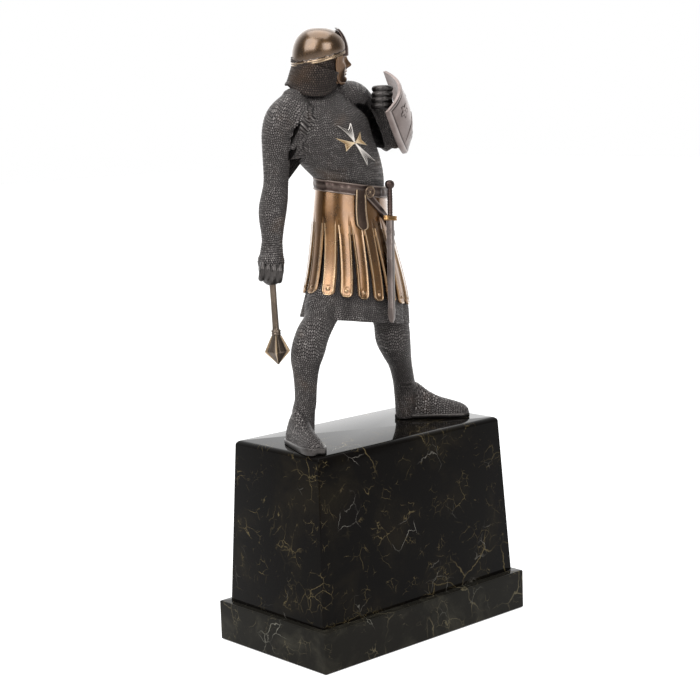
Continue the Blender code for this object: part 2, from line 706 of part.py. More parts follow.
def build_helmet(trim):
    """The polished cap, its engraved band and the raised plate at the brow."""
    mesh = bmesh.new()
    add_tube(mesh, helmet_rings())
    new_object("helmet_cap", mesh, trim)
    band = bmesh.new()
    add_tube(band, helmet_rings(HELMET_BAND_THICKNESS / U, HELMET_RIM - 0.4,
                                HELMET_RIM + HELMET_BAND_HEIGHT / U))
    new_object("helmet_band", band, trim)
    plate = bmesh.new()
    foot, top, half_width, before, behind, raised = BROW_PLATE
    rise = np.linspace(foot, top, 6)[:, None]
    across = np.linspace(-1.0, 1.0, 5)[None, :]
    outer_radius = HELMET_RADII[2] + before + raised
    lift = np.sqrt(np.clip(1.0 - (rise / outer_radius) ** 2, 0.0, 1.0))
    left = half_width * lift * across
    bend = np.sqrt(np.clip(1.0 - (left / HELMET_RADII[1]) ** 2, 0.0, 1.0))
    skins = []
    for reach in (before, -behind):
        forward = (HELMET_RADII[0] + reach) * lift * bend
        height = rise + np.zeros_like(across) + raised
        skins.append(head_to_world(np.stack([forward, left, height], axis=-1)))
    add_slab(plate, *skins)
    new_object("brow_plate", plate, trim)


def strap_angles():
    """Angles that share the skirt's round into equal lengths, one to each strap."""
    fine = np.linspace(0.0, 2 * math.pi, 721)
    wide, deep = skirt_row(BELT_LEVEL - (SHEATH_HEIGHT + STRAP_LENGTH / 2) / U)[3:5]
    run = np.hypot(wide * np.sin(fine), deep * np.cos(fine))
    length = np.concatenate([[0.0], np.cumsum((run[1:] + run[:-1]) / 2 * np.diff(fine))])
    marks = np.arange(STRAP_COUNT) / STRAP_COUNT * length[-1]
    return np.interp(marks, length, fine)


def arc_to_angle(length, angle, level):
    """The angle that a length round the waist takes up at one place of the skirt."""
    wide, deep = skirt_row(level)[3:5]
    return length / math.hypot(wide * math.sin(angle), deep * math.cos(angle))


def build_strap(index, angle, trim):
    """One skirt strap: a bent slab with a rounded end, hugging the mail."""
    top = BELT_LEVEL - (SHEATH_HEIGHT - STRAP_ROOT) / U
    low = BELT_LEVEL - (SHEATH_HEIGHT + STRAP_LENGTH) / U - STRAP_RISE * math.cos(angle)
    end_half = STRAP_END_WIDTH / U / 2
    top_half = STRAP_TOP_WIDTH / U / 2
    levels = np.concatenate([np.linspace(top, low + end_half, 4), low + end_half * np.array([0.5, 0.0])])
    outer, inner = [], []
    for level in levels:
        share = (level - low) / (top - low)
        over = max(low + end_half - level, 0.0) / end_half
        half = end_half + (top_half - end_half) * share
        reach = half * math.cos(over * STRAP_END_TURN)
        spread = angle + np.linspace(-1.0, 1.0, 4) * arc_to_angle(reach, angle, level)
        outer.append(skirt_points(spread, level, STRAP_THICKNESS / U + TRIM_LIFT))
        inner.append(skirt_points(spread, level, -TRIM_ROOT))
    mesh = bmesh.new()
    add_slab(mesh, to_world(outer), to_world(inner))
    new_object(f"strap_{index:02d}", mesh, trim)


def build_band(name, path, halves, proud, root, trim):
    """A strip that follows a path of (angle, level) places on the skirt, proud of it and rooted in it."""
    path = np.array(path)
    outer, inner = [], []
    for index, (angle, level) in enumerate(path):
        before, after = path[max(index - 1, 0)], path[min(index + 1, len(path) - 1)]
        run = unit(((after[0] - before[0]) / arc_to_angle(1.0, angle, level), after[1] - before[1]))
        offsets = np.linspace(-1.0, 1.0, 4) * halves[index]
        angles = angle - arc_to_angle(1.0, angle, level) * run[1] * offsets
        places = list(zip(angles, level + run[0] * offsets))
        outer.append([skirt_points(at, high, proud) for at, high in places])
        inner.append([skirt_points(at, high, -root) for at, high in places])
    mesh = bmesh.new()
    add_slab(mesh, to_world(outer), to_world(inner))
    new_object(name, mesh, trim)


def build_belt_fittings(trim):
    """The round buckle, the tongue that hangs from it and the strap that carries the sword."""
    belt_face = SHEATH_PROUD + BELT_THICKNESS / U
    angle = math.radians(TONGUE_ANGLE)
    half = TONGUE_WIDTH / U / 2
    low = BELT_LEVEL - TONGUE_LENGTH / U
    levels = [BELT_LEVEL, low + half, low + half * 0.45, low]
    build_band("tongue", [(angle, level) for level in levels], [half * 0.8, half, half * 0.85, half * 0.35],
               SHEATH_PROUD + STRAP_THICKNESS / U, TRIM_ROOT * 0.7, trim)
    places = np.radians(HANGER_ANGLES)
    build_band("hanger", list(zip(places, HANGER_LEVELS)), [HANGER_WIDTH / U / 2] * len(places),
               SHEATH_PROUD + HANGER_THICKNESS / U + TRIM_LIFT, TRIM_ROOT * 0.4, trim)
    mesh = bmesh.new()
    middle = math.radians(BUCKLE_ANGLE)
    seat = skirt_points(middle, BELT_LEVEL, belt_face)
    out = unit(seat - skirt_points(middle, BELT_LEVEL, 0.0))
    across = unit(np.cross(out, (0.0, 0.0, 1.0)))
    upward = np.cross(across, out)
    rings = []
    for reach, share in ((-TRIM_ROOT * 1.3, 1.0), (BUCKLE_THICKNESS / U / 2, 1.0), (BUCKLE_THICKNESS / U, 0.6)):
        spin = turns(20)[:, None]
        radius = BUCKLE_DIAMETER / U / 2 * share
        rings.append(seat + out * reach + radius * (across * np.cos(spin) + upward * np.sin(spin)))
    add_tube(mesh, to_world(rings))
    new_object("buckle", mesh, trim)


def build_waist(trim):
    """The belt, and the polished sheath of the strap skirt below it."""
    sheath = bmesh.new()
    rows = []
    for level in np.linspace(BELT_LEVEL, BELT_LEVEL - SHEATH_HEIGHT / U, 3):
        row = skirt_row(level)
        row[3:5] += SHEATH_PROUD
        rows.append(row)
    add_tube(sheath, to_world(stack_rings(rows)))
    new_object("sheath", sheath, trim)
    belt = bmesh.new()
    rows = []
    half = BELT_HEIGHT / U / 2
    for offset, share in ((half, 0.55), (half * 0.8, 1.0), (-half * 0.8, 1.0), (-half, 0.55)):
        row = skirt_row(BELT_LEVEL)
        row[2] += offset
        row[3:5] += SHEATH_PROUD + BELT_THICKNESS / U * share
        rows.append(row)
    add_tube(belt, to_world(stack_rings(rows)))
    new_object("belt", belt, trim)


def axis_frame(direction, outward):
    """Down an axis, out of it and across it, square to one another."""
    down = unit(direction)
    out = unit(np.array(outward) - down * np.dot(outward, down))
    return down, out, np.cross(down, out)


def mace_rings(grow):
    """The mace turned about its shaft; the head is a four-sided diamond."""
    down, out, across = axis_frame(MACE_DIRECTION, MACE_CORNER)
    top = to_world(MACE_TOP)
    shaft = MACE_SHAFT_DIAMETER / 2
    collar = MACE_COLLAR_DIAMETER / 2
    widest = MACE_HEAD_WIDTH / 2
    start = MACE_SHAFT_LENGTH
    stations = [
        (-grow, shaft, 0.0), (start, shaft, 0.0), (start, collar, 0.0),
        (start + MACE_COLLAR_HEIGHT, collar, 0.0), (start + MACE_COLLAR_HEIGHT, collar * 0.9, 1.0),
        (start + MACE_COLLAR_HEIGHT + MACE_HEAD_LENGTH * MACE_WIDEST_AT, widest, 1.0),
        (start + MACE_COLLAR_HEIGHT + MACE_HEAD_LENGTH, widest * MACE_TIP, 1.0)]
    angles = turns(16)
    rings = []
    for along, radius, square in stations:
        quarter = np.mod(angles, math.pi / 2) - math.pi / 4
        corner = math.cos(math.pi / 4) / np.cos(quarter)
        reach = (radius + grow) * (1.0 + square * (corner - 1.0))
        rings.append(top + down * along + out * (np.cos(angles) * reach)[:, None]
                     + across * (np.sin(angles) * reach)[:, None])
    return rings


def build_mace(collection, bronze, cutters):
    """The mace, and the hole that its shaft needs in the fist."""
    for name, grow, group, material in (("mace", 0.0, collection, bronze),
                                        ("mace_seat", FIT_GAP, cutters, None)):
        mesh = bmesh.new()
        add_tube(mesh, mace_rings(grow))
        thing = new_object(name, mesh, group, material)
        if group is cutters:
            hide_cutter(thing)


def shield_dish(along):
    """How far the face stands before the plane of the corners, from the top to the point."""
    growth = np.sin(np.clip(along * 1.9, 0.0, math.pi / 2))
    dish = SHIELD_TOP_BULGE + (SHIELD_MID_BULGE - SHIELD_TOP_BULGE) * growth
    return dish * np.clip(1.0 - along ** 3.0, 0.0, 1.0)


def shield_middle(along):
    """A point in the middle of the shield's wall, on its centre line."""
    down, face, _ = axis_frame(SHIELD_DOWN, SHIELD_FACE)
    level = shield_dish(np.array(along)) - SHIELD_THICKNESS / 2
    return to_world(SHIELD_TOP_MIDDLE) + down * along * SHIELD_LENGTH + face * level


def shield_skins(grow):
    """The curved heater: straight top corners, sides that run into the point, a dished face."""
    down, face, across = axis_frame(SHIELD_DOWN, SHIELD_FACE)
    origin = to_world(SHIELD_TOP_MIDDLE)
    along = np.linspace(0.0, 1.0, 9)[:, None]
    side = np.linspace(-1.0, 1.0, 7)[None, :]
    taper = np.clip((along - SHIELD_STRAIGHT) / (1.0 - SHIELD_STRAIGHT), 0.0, 0.995)
    half = SHIELD_WIDTH / 2 * np.sqrt(1.0 - taper ** SHIELD_POINT) + grow
    lift = shield_dish(along) * (1.0 - side ** 2)
    run = -grow + along * (SHIELD_LENGTH + 2 * grow)
    middle = origin + down * run[..., None] + across * (half * side)[..., None]
    skins = []
    for level in (lift + grow, lift - SHIELD_THICKNESS - grow):
        skins.append(middle + face * level[..., None])
    return skins


def build_shield(collection, bronze, cutters):
    """The shield, and the room that it needs beside the arm and fist."""
    for name, grow, group, material in (("shield", 0.0, collection, bronze),
                                        ("shield_seat", FIT_GAP, cutters, None)):
        mesh = bmesh.new()
        add_slab(mesh, *shield_skins(grow))
        thing = new_object(name, mesh, group, material)
        if group is cutters:
            hide_cutter(thing)


def sword_rings(grow):
    """Pommel, grip, guard, scabbard with its bands and chape, as one run of sections."""
    down, out, across = axis_frame(SWORD_DIRECTION, SWORD_OUTWARD)
    mouth = to_world(SWORD_MOUTH)
    wide, deep = SCABBARD_WIDTH / 2, SCABBARD_THICKNESS / 2
    grip, pommel = GRIP_DIAMETER / 2, POMMEL_DIAMETER / 2
    guard_top = -GUARD_HEIGHT
    grip_top = guard_top - GRIP_LENGTH
    band = SCABBARD_BAND_HEIGHT
    ridge = SCABBARD_RIDGE
    stations = [(grip_top - pommel * rise, pommel * half_wide, pommel * half_deep)
                for rise, half_wide, half_deep in POMMEL_PROFILE]
    stations += [(grip_top, grip, grip), (guard_top, grip, grip),
                 (guard_top, GUARD_LENGTH / 2, deep * 0.9), (0.0, GUARD_LENGTH / 2, deep * 0.9),
                 (0.0, wide, deep)]
    for at in SCABBARD_BANDS:
        start = SCABBARD_LENGTH * at
        stations += [(start, wide, deep), (start, wide + ridge, deep + ridge),
                     (start + band, wide + ridge, deep + ridge), (start + band, wide, deep)]
    stations += [(SCABBARD_LENGTH * CHAPE_TOP, wide * 0.9, deep * 0.9),
                 (SCABBARD_LENGTH * CHAPE_TOP, wide * 0.9 + ridge, deep * 0.9 + ridge),
                 (SCABBARD_LENGTH * CHAPE_MIDDLE, wide * 0.8 + ridge, deep * 0.85 + ridge),
                 (SCABBARD_LENGTH, wide * 0.35, deep * 0.5)]
    angles = turns(8)
    rings = []
    for along, half_wide, half_deep in stations:
        rings.append(mouth + down * along + across * (np.cos(angles) * (half_wide + grow))[:, None]
                     + out * (np.sin(angles) * (half_deep + grow))[:, None])
    rings[0] = rings[0] - down * grow
    rings[-1] = rings[-1] + down * grow
    return rings


def build_sword(collection, bronze, cutters):
    """The sword in its scabbard, and the groove that it lies in."""
    for name, grow, group, material in (("sword", 0.0, collection, bronze),
                                        ("sword_seat", FIT_GAP, cutters, None)):
        mesh = bmesh.new()
        add_tube(mesh, sword_rings(grow))
        thing = new_object(name, mesh, group, material)
        if group is cutters:
            hide_cutter(thing)


def build_ground_cutter(cutters):
    """A block whose top is the figure's sole plane."""
    mesh = bmesh.new()
    depth = GROUND.z / 4
    size = Matrix.Diagonal((PLINTH_LENGTH * 2, PLINTH_LENGTH * 2, depth, 1.0))
    centre = Matrix.Translation((0.0, 0.0, GROUND.z - depth / 2))
    bmesh.ops.create_cube(mesh, size=1.0, matrix=centre @ size)
    thing = new_object("ground", mesh, cutters)
    hide_cutter(thing)


def build_knight(collection, bronze, trim, cutters):
    """Melt the soft masses, then join the crisp trim and cut the seats."""
    knight = new_object("knight", build_body(), collection, bronze)
    add_remesh(knight, BODY_VOXEL, BODY_SMOOTHING, BODY_KEEP)
    head = new_object("head", build_head(), trim)
    add_remesh(head, HEAD_VOXEL, HEAD_SMOOTHING, HEAD_KEEP)
    settle(head)
    build_helmet(trim)
    build_waist(trim)
    build_belt_fittings(trim)
    for index, angle in enumerate(strap_angles()):
        build_strap(index, angle, trim)
    for thing in trim.objects:
        hide_cutter(thing)
    add_boolean(knight, trim, "UNION")
    add_boolean(knight, cutters, "DIFFERENCE")


def main():
    for thing in list(bpy.data.objects):
        bpy.data.objects.remove(thing, do_unlink=True)
    collections = []
    for name in ("knight on pedestal", "trim", "cutters"):
        group = bpy.data.collections.new(name)
        bpy.context.scene.collection.children.link(group)
        collections.append(group)
    pieces, trim, cutters = collections
    marble = make_material("dark_marble", (0.018, 0.017, 0.015), 0.12, 0.0)
    bronze = make_material("dark_bronze", (0.16, 0.13, 0.11), 0.42, 1.0)
    golden = make_material("golden_bronze", (0.45, 0.28, 0.13), 0.32, 1.0)
    grey = make_material("grey_bronze", (0.30, 0.27, 0.24), 0.36, 1.0)
    steel = make_material("scabbard_bronze", (0.26, 0.24, 0.23), 0.38, 1.0)
    build_plinth(pieces, marble)
    build_pedestal(pieces, marble.copy())
    build_mace(pieces, golden, cutters)
    build_shield(pieces, grey, cutters)
    build_sword(pieces, steel, cutters)
    build_ground_cutter(cutters)
    build_knight(pieces, bronze, trim, cutters)


main()
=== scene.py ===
# %% [markdown]
# # A knight in mail, cast in bronze, on a stepped block of dark marble
#
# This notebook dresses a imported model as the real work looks: dark mail with worn crests, polished
# golden cap and skirt straps, a small mace, a curved shield, a sheathed sword, and veined marble.
# Every form is a function of two parameters, evaluated with numpy over a whole grid at once.
# Lengths in the tables are millimetres, measured from the middle of the pedestal's top. One
# function carries them to metres.

# %% The frame and the tools
import math

import bpy
import numpy as np
from mathutils import Matrix, Vector


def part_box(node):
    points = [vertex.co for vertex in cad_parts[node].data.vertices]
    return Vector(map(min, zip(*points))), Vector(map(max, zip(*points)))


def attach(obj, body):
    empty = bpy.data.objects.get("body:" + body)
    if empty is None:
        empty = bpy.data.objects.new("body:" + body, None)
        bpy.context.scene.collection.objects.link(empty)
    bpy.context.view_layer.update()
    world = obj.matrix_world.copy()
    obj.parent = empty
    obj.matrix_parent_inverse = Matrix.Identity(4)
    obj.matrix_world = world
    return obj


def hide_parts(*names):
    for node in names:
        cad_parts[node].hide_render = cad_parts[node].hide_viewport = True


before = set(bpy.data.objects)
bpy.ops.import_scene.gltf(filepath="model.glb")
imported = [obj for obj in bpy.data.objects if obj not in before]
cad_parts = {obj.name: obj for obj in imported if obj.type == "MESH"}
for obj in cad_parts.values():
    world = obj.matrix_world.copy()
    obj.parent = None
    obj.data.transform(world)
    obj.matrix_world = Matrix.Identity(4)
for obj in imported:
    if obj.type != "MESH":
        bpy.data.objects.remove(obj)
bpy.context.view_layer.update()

MM = 0.001
GAP = 0.0003
PEDESTAL_LOW, PEDESTAL_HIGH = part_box("pedestal")
PLINTH_LOW, PLINTH_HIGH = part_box("plinth")
GROUND = PEDESTAL_HIGH[2] + GAP

# %% [markdown]
# ## Grids into meshes
#
# A grid of points becomes quads by index arithmetic, so no loop visits a vertex. A tube is a grid
# whose last column meets its first, and each end is closed by a fan round one extra point.

# %% Grid helpers
def to_metres(points):
    """Figure millimetres to metres in the model's frame: scale, then lift by the sole plane."""
    return np.asarray(points, dtype=float) * MM + np.array([0.0, 0.0, GROUND])


def grid_quads(rows, columns, closed):
    """Quads of a grid; with closed, the last column joins the first."""
    across = columns if closed else columns - 1
    row = np.arange(rows - 1)[:, None]
    column = np.arange(across)[None, :]
    after = (column + 1) % columns
    corners = [row * columns + column, row * columns + after,
               (row + 1) * columns + after, (row + 1) * columns + column]
    return np.stack(corners, axis=-1).reshape(-1, 4)


NO_TRIANGLES = np.zeros((0, 3), dtype=int)


def tube_mesh(rings):
    """Vertices, quads and fan triangles of a stack of closed rings."""
    rings = np.asarray(rings, dtype=float)
    rows, columns = rings.shape[:2]
    around = np.arange(columns)
    after = (around + 1) % columns
    base = (rows - 1) * columns
    points = np.vstack([rings.reshape(-1, 3), rings[0].mean(axis=0), rings[-1].mean(axis=0)])
    low = np.stack([after, around, np.full(columns, rows * columns)], axis=1)
    high = np.stack([base + around, base + after, np.full(columns, rows * columns + 1)], axis=1)
    return points, grid_quads(rows, columns, True), np.vstack([low, high])


def slab_mesh(outer, inner):
    """Two equal grids joined round their border into one closed slab."""
    rows, columns = outer.shape[:2]
    count = rows * columns
    index = np.arange(count).reshape(rows, columns)
    front = grid_quads(rows, columns, False)
    back = front[:, ::-1] + count
    border = np.concatenate([index[0, :-1], index[:-1, -1], index[-1, :0:-1], index[:0:-1, 0]])
    after = np.roll(border, -1)
    sides = np.stack([after, border, border + count, after + count], axis=1)
    points = np.vstack([outer.reshape(-1, 3), inner.reshape(-1, 3)])
    return points, np.vstack([front, back, sides]), NO_TRIANGLES


def merge_meshes(meshes):
    """Several (points, quads, triangles) as one."""
    points, quads, triangles, base = [], [], [], 0
    for one_points, one_quads, one_triangles in meshes:
        points.append(one_points)
        quads.append(one_quads + base)
        triangles.append(one_triangles + base)
        base += len(one_points)
    return np.vstack(points), np.vstack(quads), np.vstack(triangles)


def fill_mesh(name, points, quads, triangles):
    """A Blender mesh from whole arrays."""
    mesh = bpy.data.meshes.new(name)
    mesh.vertices.add(len(points))
    mesh.vertices.foreach_set("co", np.ascontiguousarray(points, dtype=np.float32).ravel())
    corners = np.concatenate([quads.ravel(), triangles.ravel()]).astype(np.int32)
    starts = np.concatenate([np.arange(len(quads)) * 4,
                             len(quads) * 4 + np.arange(len(triangles)) * 3]).astype(np.int32)
    mesh.loops.add(len(corners))
    mesh.loops.foreach_set("vertex_index", corners)
    mesh.polygons.add(len(starts))
    mesh.polygons.foreach_set("loop_start", starts)
    mesh.update(calc_edges=True)
    mesh.validate()
    return mesh


def signed_volume(points, quads, triangles):
    """Sum of the tetrahedra from the origin to each face: negative when faces point inwards."""
    halves = np.vstack([quads[:, [0, 1, 2]], quads[:, [0, 2, 3]], triangles])
    a, b, c = points[halves[:, 0]], points[halves[:, 1]], points[halves[:, 2]]
    return np.einsum("ij,ij->i", a, np.cross(b, c)).sum() / 6.0


def fan_ends(wear):
    """A tube's wear, with two zeros for the points that its end fans meet in."""
    return np.append(wear, [0.0, 0.0])


def front_only(wear):
    """A slab's wear: the outer skin's values, and zeros on the inner skin."""
    return np.concatenate([wear.ravel(), np.zeros(wear.size)])


def ring_place(u, v):
    """The ring grid's coordinates as vectors, for the shader."""
    return np.column_stack([u, v, np.zeros(len(u))])


TRIANGLES = {}


def make_piece(name, shape, material, crest=None, mail=None, sharp=None,
               node="knight"):
    """One finished piece: outward faces, smooth shading, its relief attributes and its place."""
    points, quads, triangles = shape
    if signed_volume(points, quads, triangles) < 0:
        quads, triangles = quads[:, ::-1], triangles[:, ::-1]
    mesh = fill_mesh(name, to_metres(points), quads, triangles)
    mesh.shade_smooth()
    if sharp is not None:
        mesh.set_sharp_from_angle(angle=math.radians(sharp))
    if crest is not None:
        height = mesh.attributes.new("crest", "FLOAT", "POINT")
        height.data.foreach_set("value", crest.astype(np.float32))
    if mail is not None:
        place = mesh.attributes.new("mail", "FLOAT_VECTOR", "POINT")
        place.data.foreach_set("vector", mail.astype(np.float32).ravel())
    mesh.materials.append(material)
    piece = bpy.data.objects.new(name, mesh)
    bpy.context.scene.collection.objects.link(piece)
    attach(piece, "root")
    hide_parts(node)
    TRIANGLES[name] = len(quads) * 2 + len(triangles)
    print(name, TRIANGLES[name], "triangles")
    return piece


# %% [markdown]
# ## Curves through tables
#
# The figure is described by short tables, as a sculptor's armature is: a few sections of the trunk
# and the skirt, and a few spheres along each limb. A Catmull-Rom curve through the rows fills in
# the rest, because it passes through every row and stays smooth.

# %% Rows and rings
def unit(vector):
    """The vector at length one."""
    vector = np.asarray(vector, dtype=float)
    return vector / np.linalg.norm(vector, axis=-1, keepdims=True)


def bell(away, width):
    """A bell-shaped curve: one in the middle, 1/e at the width."""
    return np.exp(-(away / width) ** 2)


def smooth_rows(rows, steps):
    """Rows on the Catmull-Rom curve through a table, steps to each span."""
    rows = np.asarray(rows, dtype=float)
    padded = np.vstack([2 * rows[0] - rows[1], rows, 2 * rows[-1] - rows[-2]])
    t = (np.arange(steps) / steps)[None, :, None]
    before, start, end, after = (padded[k:k + len(rows) - 1, None, :] for k in range(4))
    curve = 0.5 * (2 * start + (end - before) * t
                   + (2 * before - 5 * start + 4 * end - after) * t ** 2
                   + (3 * start - before - 3 * end + after) * t ** 3)
    return np.vstack([curve.reshape(-1, rows.shape[1]), rows[-1]])


def turns(count):
    """Evenly spaced angles round a ring."""
    return np.arange(count) * 2 * math.pi / count


def section(row, angle, scale=1.0, proud=0.0):
    """Points of leaned, pitched ellipses: x y z wide deep lean pitch are the row's last axis.

    Formula: centre + (wide cos a along the leaned X) + (deep sin a along the pitched Y).
    """
    row = np.asarray(row, dtype=float)
    x, y, z, wide, deep, lean, pitch = np.moveaxis(row, -1, 0)
    lean, pitch = np.radians(lean), np.radians(pitch)
    along = (wide * scale + proud) * np.cos(angle)
    across = (deep * scale + proud) * np.sin(angle)
    return np.stack(np.broadcast_arrays(x + along * np.cos(lean), y + across * np.cos(pitch),
                                        z - along * np.sin(lean) + across * np.sin(pitch)), axis=-1)


def limb_rings(rows, count=32, hint=(0.0, -1.0, 0.0)):
    """Round rings square to a path of x, y, z, radius rows."""
    rows = np.asarray(rows, dtype=float)
    ahead = unit(np.gradient(rows[:, :3], axis=0))
    side = unit(np.cross(ahead, np.array(hint)))
    front = np.cross(side, ahead)
    angle = turns(count)[None, :, None]
    spoke = np.cos(angle) * side[:, None, :] + np.sin(angle) * front[:, None, :]
    return rows[:, None, :3] + rows[:, 3][:, None, None] * spoke


def ball_mesh(centre, radii, turn=None, count=28):
    """An ellipsoid as rings of latitude with a point at each pole, turned by a matrix."""
    latitude = np.linspace(-math.pi / 2, math.pi / 2, count // 2 + 1)[1:-1, None]
    angle = turns(count)[None, :]
    rings = np.stack(np.broadcast_arrays(
        np.cos(latitude) * np.cos(angle), np.cos(latitude) * np.sin(angle), np.sin(latitude)),
        axis=-1) * np.array(radii)
    points, quads, triangles = tube_mesh(rings)
    points[-2:] = np.array([[0, 0, -1.0], [0, 0, 1.0]]) * np.array(radii)
    if turn is not None:
        points = points @ np.asarray(turn).T
    return points + np.array(centre), quads, triangles


# %% The figure's tables
# Stacked sections: x, y, z, half width, half depth, lean and pitch in degrees
TORSO = (
    (-10.5, 0.0, 176.0, 28.0, 18.6, 7.0, 5.0),
    (-10.5, 0.0, 184.0, 28.5, 18.8, 7.0, 5.0),
    (-13.5, 0.0, 195.0, 30.5, 20.5, -2.0, 2.0),
    (-20.0, 0.0, 206.0, 32.5, 22.0, -9.0, 0.0),
    (-29.3, 0.0, 219.0, 35.0, 24.0, -11.0, 0.0),
    (-35.0, 0.0, 231.0, 36.5, 24.5, -10.0, 0.0),
    (-39.0, 1.0, 242.0, 31.0, 20.0, -8.0, 0.0),
    (-40.5, 1.0, 250.0, 22.0, 16.0, -7.0, 0.0),
    (-41.0, 1.0, 258.0, 17.0, 15.0, -4.0, 0.0),
)
SKIRT = (
    (-10.5, 0.0, 187.0, 28.3, 18.4, 7.8, 5.3),
    (-11.5, 0.0, 165.0, 30.5, 20.0, 8.0, 4.0),
    (-10.0, 0.0, 145.0, 33.8, 23.3, 8.5, 2.0),
    (-8.0, 0.0, 120.0, 39.0, 27.0, 8.5, 1.0),
    (-8.0, 0.0, 100.0, 43.0, 29.5, 8.5, 0.0),
    (-9.5, 0.0, 85.0, 44.5, 31.0, 8.5, 0.0),
)
# Limbs: x, y, z, radius
RIGHT_ARM = (
    (-58.0, 2.0, 249.0, 10.5), (-68.5, 2.0, 242.5, 11.8), (-74.5, 2.0, 236.0, 12.6),
    (-77.5, 3.0, 227.0, 11.8), (-78.3, 4.0, 217.0, 10.6), (-78.5, 5.0, 204.0, 9.6),
    (-79.5, 5.0, 192.0, 9.1), (-82.0, 4.0, 183.0, 9.8), (-84.0, 4.0, 175.0, 10.2),
    (-86.0, 3.0, 167.0, 9.6), (-87.3, 2.0, 156.0, 8.0), (-88.8, 1.0, 146.0, 7.2),
)
LEFT_ARM = (
    (-20.0, 1.0, 249.0, 12.0), (-9.0, 0.0, 250.0, 13.4), (1.0, 0.0, 244.0, 12.4),
    (10.5, 0.0, 235.5, 11.0), (20.5, 0.0, 226.5, 9.8), (31.0, -0.5, 217.5, 9.4),
    (28.0, -4.0, 223.0, 9.9), (21.0, -8.5, 231.0, 9.4), (14.0, -13.5, 239.0, 7.8),
    (9.0, -17.0, 245.0, 7.2),
)
RIGHT_LEG = (
    (-35.5, -2.0, 108.0, 16.0), (-45.5, -4.0, 99.5, 14.5), (-54.5, -8.5, 90.0, 11.6),
    (-63.5, -11.0, 81.5, 12.1), (-68.5, -11.5, 72.0, 12.4), (-69.5, -9.5, 63.5, 11.4),
    (-69.0, -8.0, 55.0, 9.6), (-67.5, -5.5, 42.0, 8.3), (-67.0, -4.0, 31.0, 8.1),
    (-69.0, -3.5, 22.0, 8.6), (-70.0, -3.0, 0.5, 8.4),
)
LEFT_LEG = (
    (13.5, -3.0, 105.0, 15.6), (15.7, -6.0, 94.0, 14.2), (17.6, -9.0, 81.0, 13.4),
    (18.6, -9.5, 69.0, 13.4), (24.0, -7.0, 59.0, 11.6), (32.6, -2.0, 47.0, 9.2),
    (40.3, 3.0, 34.0, 8.5), (45.5, 6.5, 22.0, 8.7), (47.5, 7.5, 0.5, 8.5),
)
SHOULDER_LINE = (
    (-66.0, 3.0, 247.5, 9.0), (-52.0, 3.0, 253.0, 11.5), (-40.0, 2.0, 256.0, 13.0),
    (-26.0, 2.0, 255.0, 11.5), (-12.0, 1.0, 253.0, 10.0),
)
NECK = (
    (-45.0, 5.0, 248.0, 15.5), (-44.0, 3.0, 260.0, 16.5), (-43.0, 1.0, 268.0, 16.8),
    (-41.0, -1.5, 276.0, 17.0),
)
# Chest, back and shoulder masses: centre and radii
MASSES = (
    (-46.0, -10.5, 227.0, 19.0, 11.5, 14.0), (-22.0, -11.0, 229.0, 18.0, 11.5, 13.0),
    (-52.0, 14.0, 230.0, 14.0, 9.0, 15.0), (-24.0, 14.0, 235.0, 14.0, 9.0, 15.0),
    (-69.5, 1.5, 238.5, 12.5, 13.5, 13.5), (-8.0, 0.0, 249.0, 13.0, 13.5, 14.0),
    (-62.0, -3.5, 236.0, 15.0, 13.0, 15.0), (-64.0, -1.5, 224.0, 13.0, 12.0, 14.0),
    (-65.5, 1.0, 216.5, 10.0, 10.5, 8.5), (-52.0, 3.0, 256.5, 17.0, 13.0, 10.0),
)
# Feet: how far from the heel, half width, height
FOOT_SECTIONS = (
    (0.0, 4.0, 8.0), (3.0, 7.0, 16.0), (9.0, 8.4, 24.0), (15.0, 8.5, 28.0), (20.0, 8.6, 25.5),
    (26.0, 8.8, 20.5), (34.0, 8.8, 16.0), (42.0, 8.8, 13.4), (49.0, 8.2, 11.2), (54.0, 6.8, 8.8),
    (57.0, 4.2, 5.6),
)
RIGHT_FOOT = ((-69.0, 9.5), (-89.0, -41.5))
LEFT_FOOT = ((43.0, 15.0), (83.0, -26.0))

# %% [markdown]
# ## Bronze and marble
#
# Cast bronze is coloured by chemicals that settle in the hollows, and hands polish the crests.
# Each finish reads two attributes that the relief leaves on the mesh: `crest`, how high a point
# stands in its ring of mail, and `mail`, the ring grid's own coordinates, from which the shader
# draws the wire of each ring finer than the mesh could hold it. Marble reads Object coordinates.

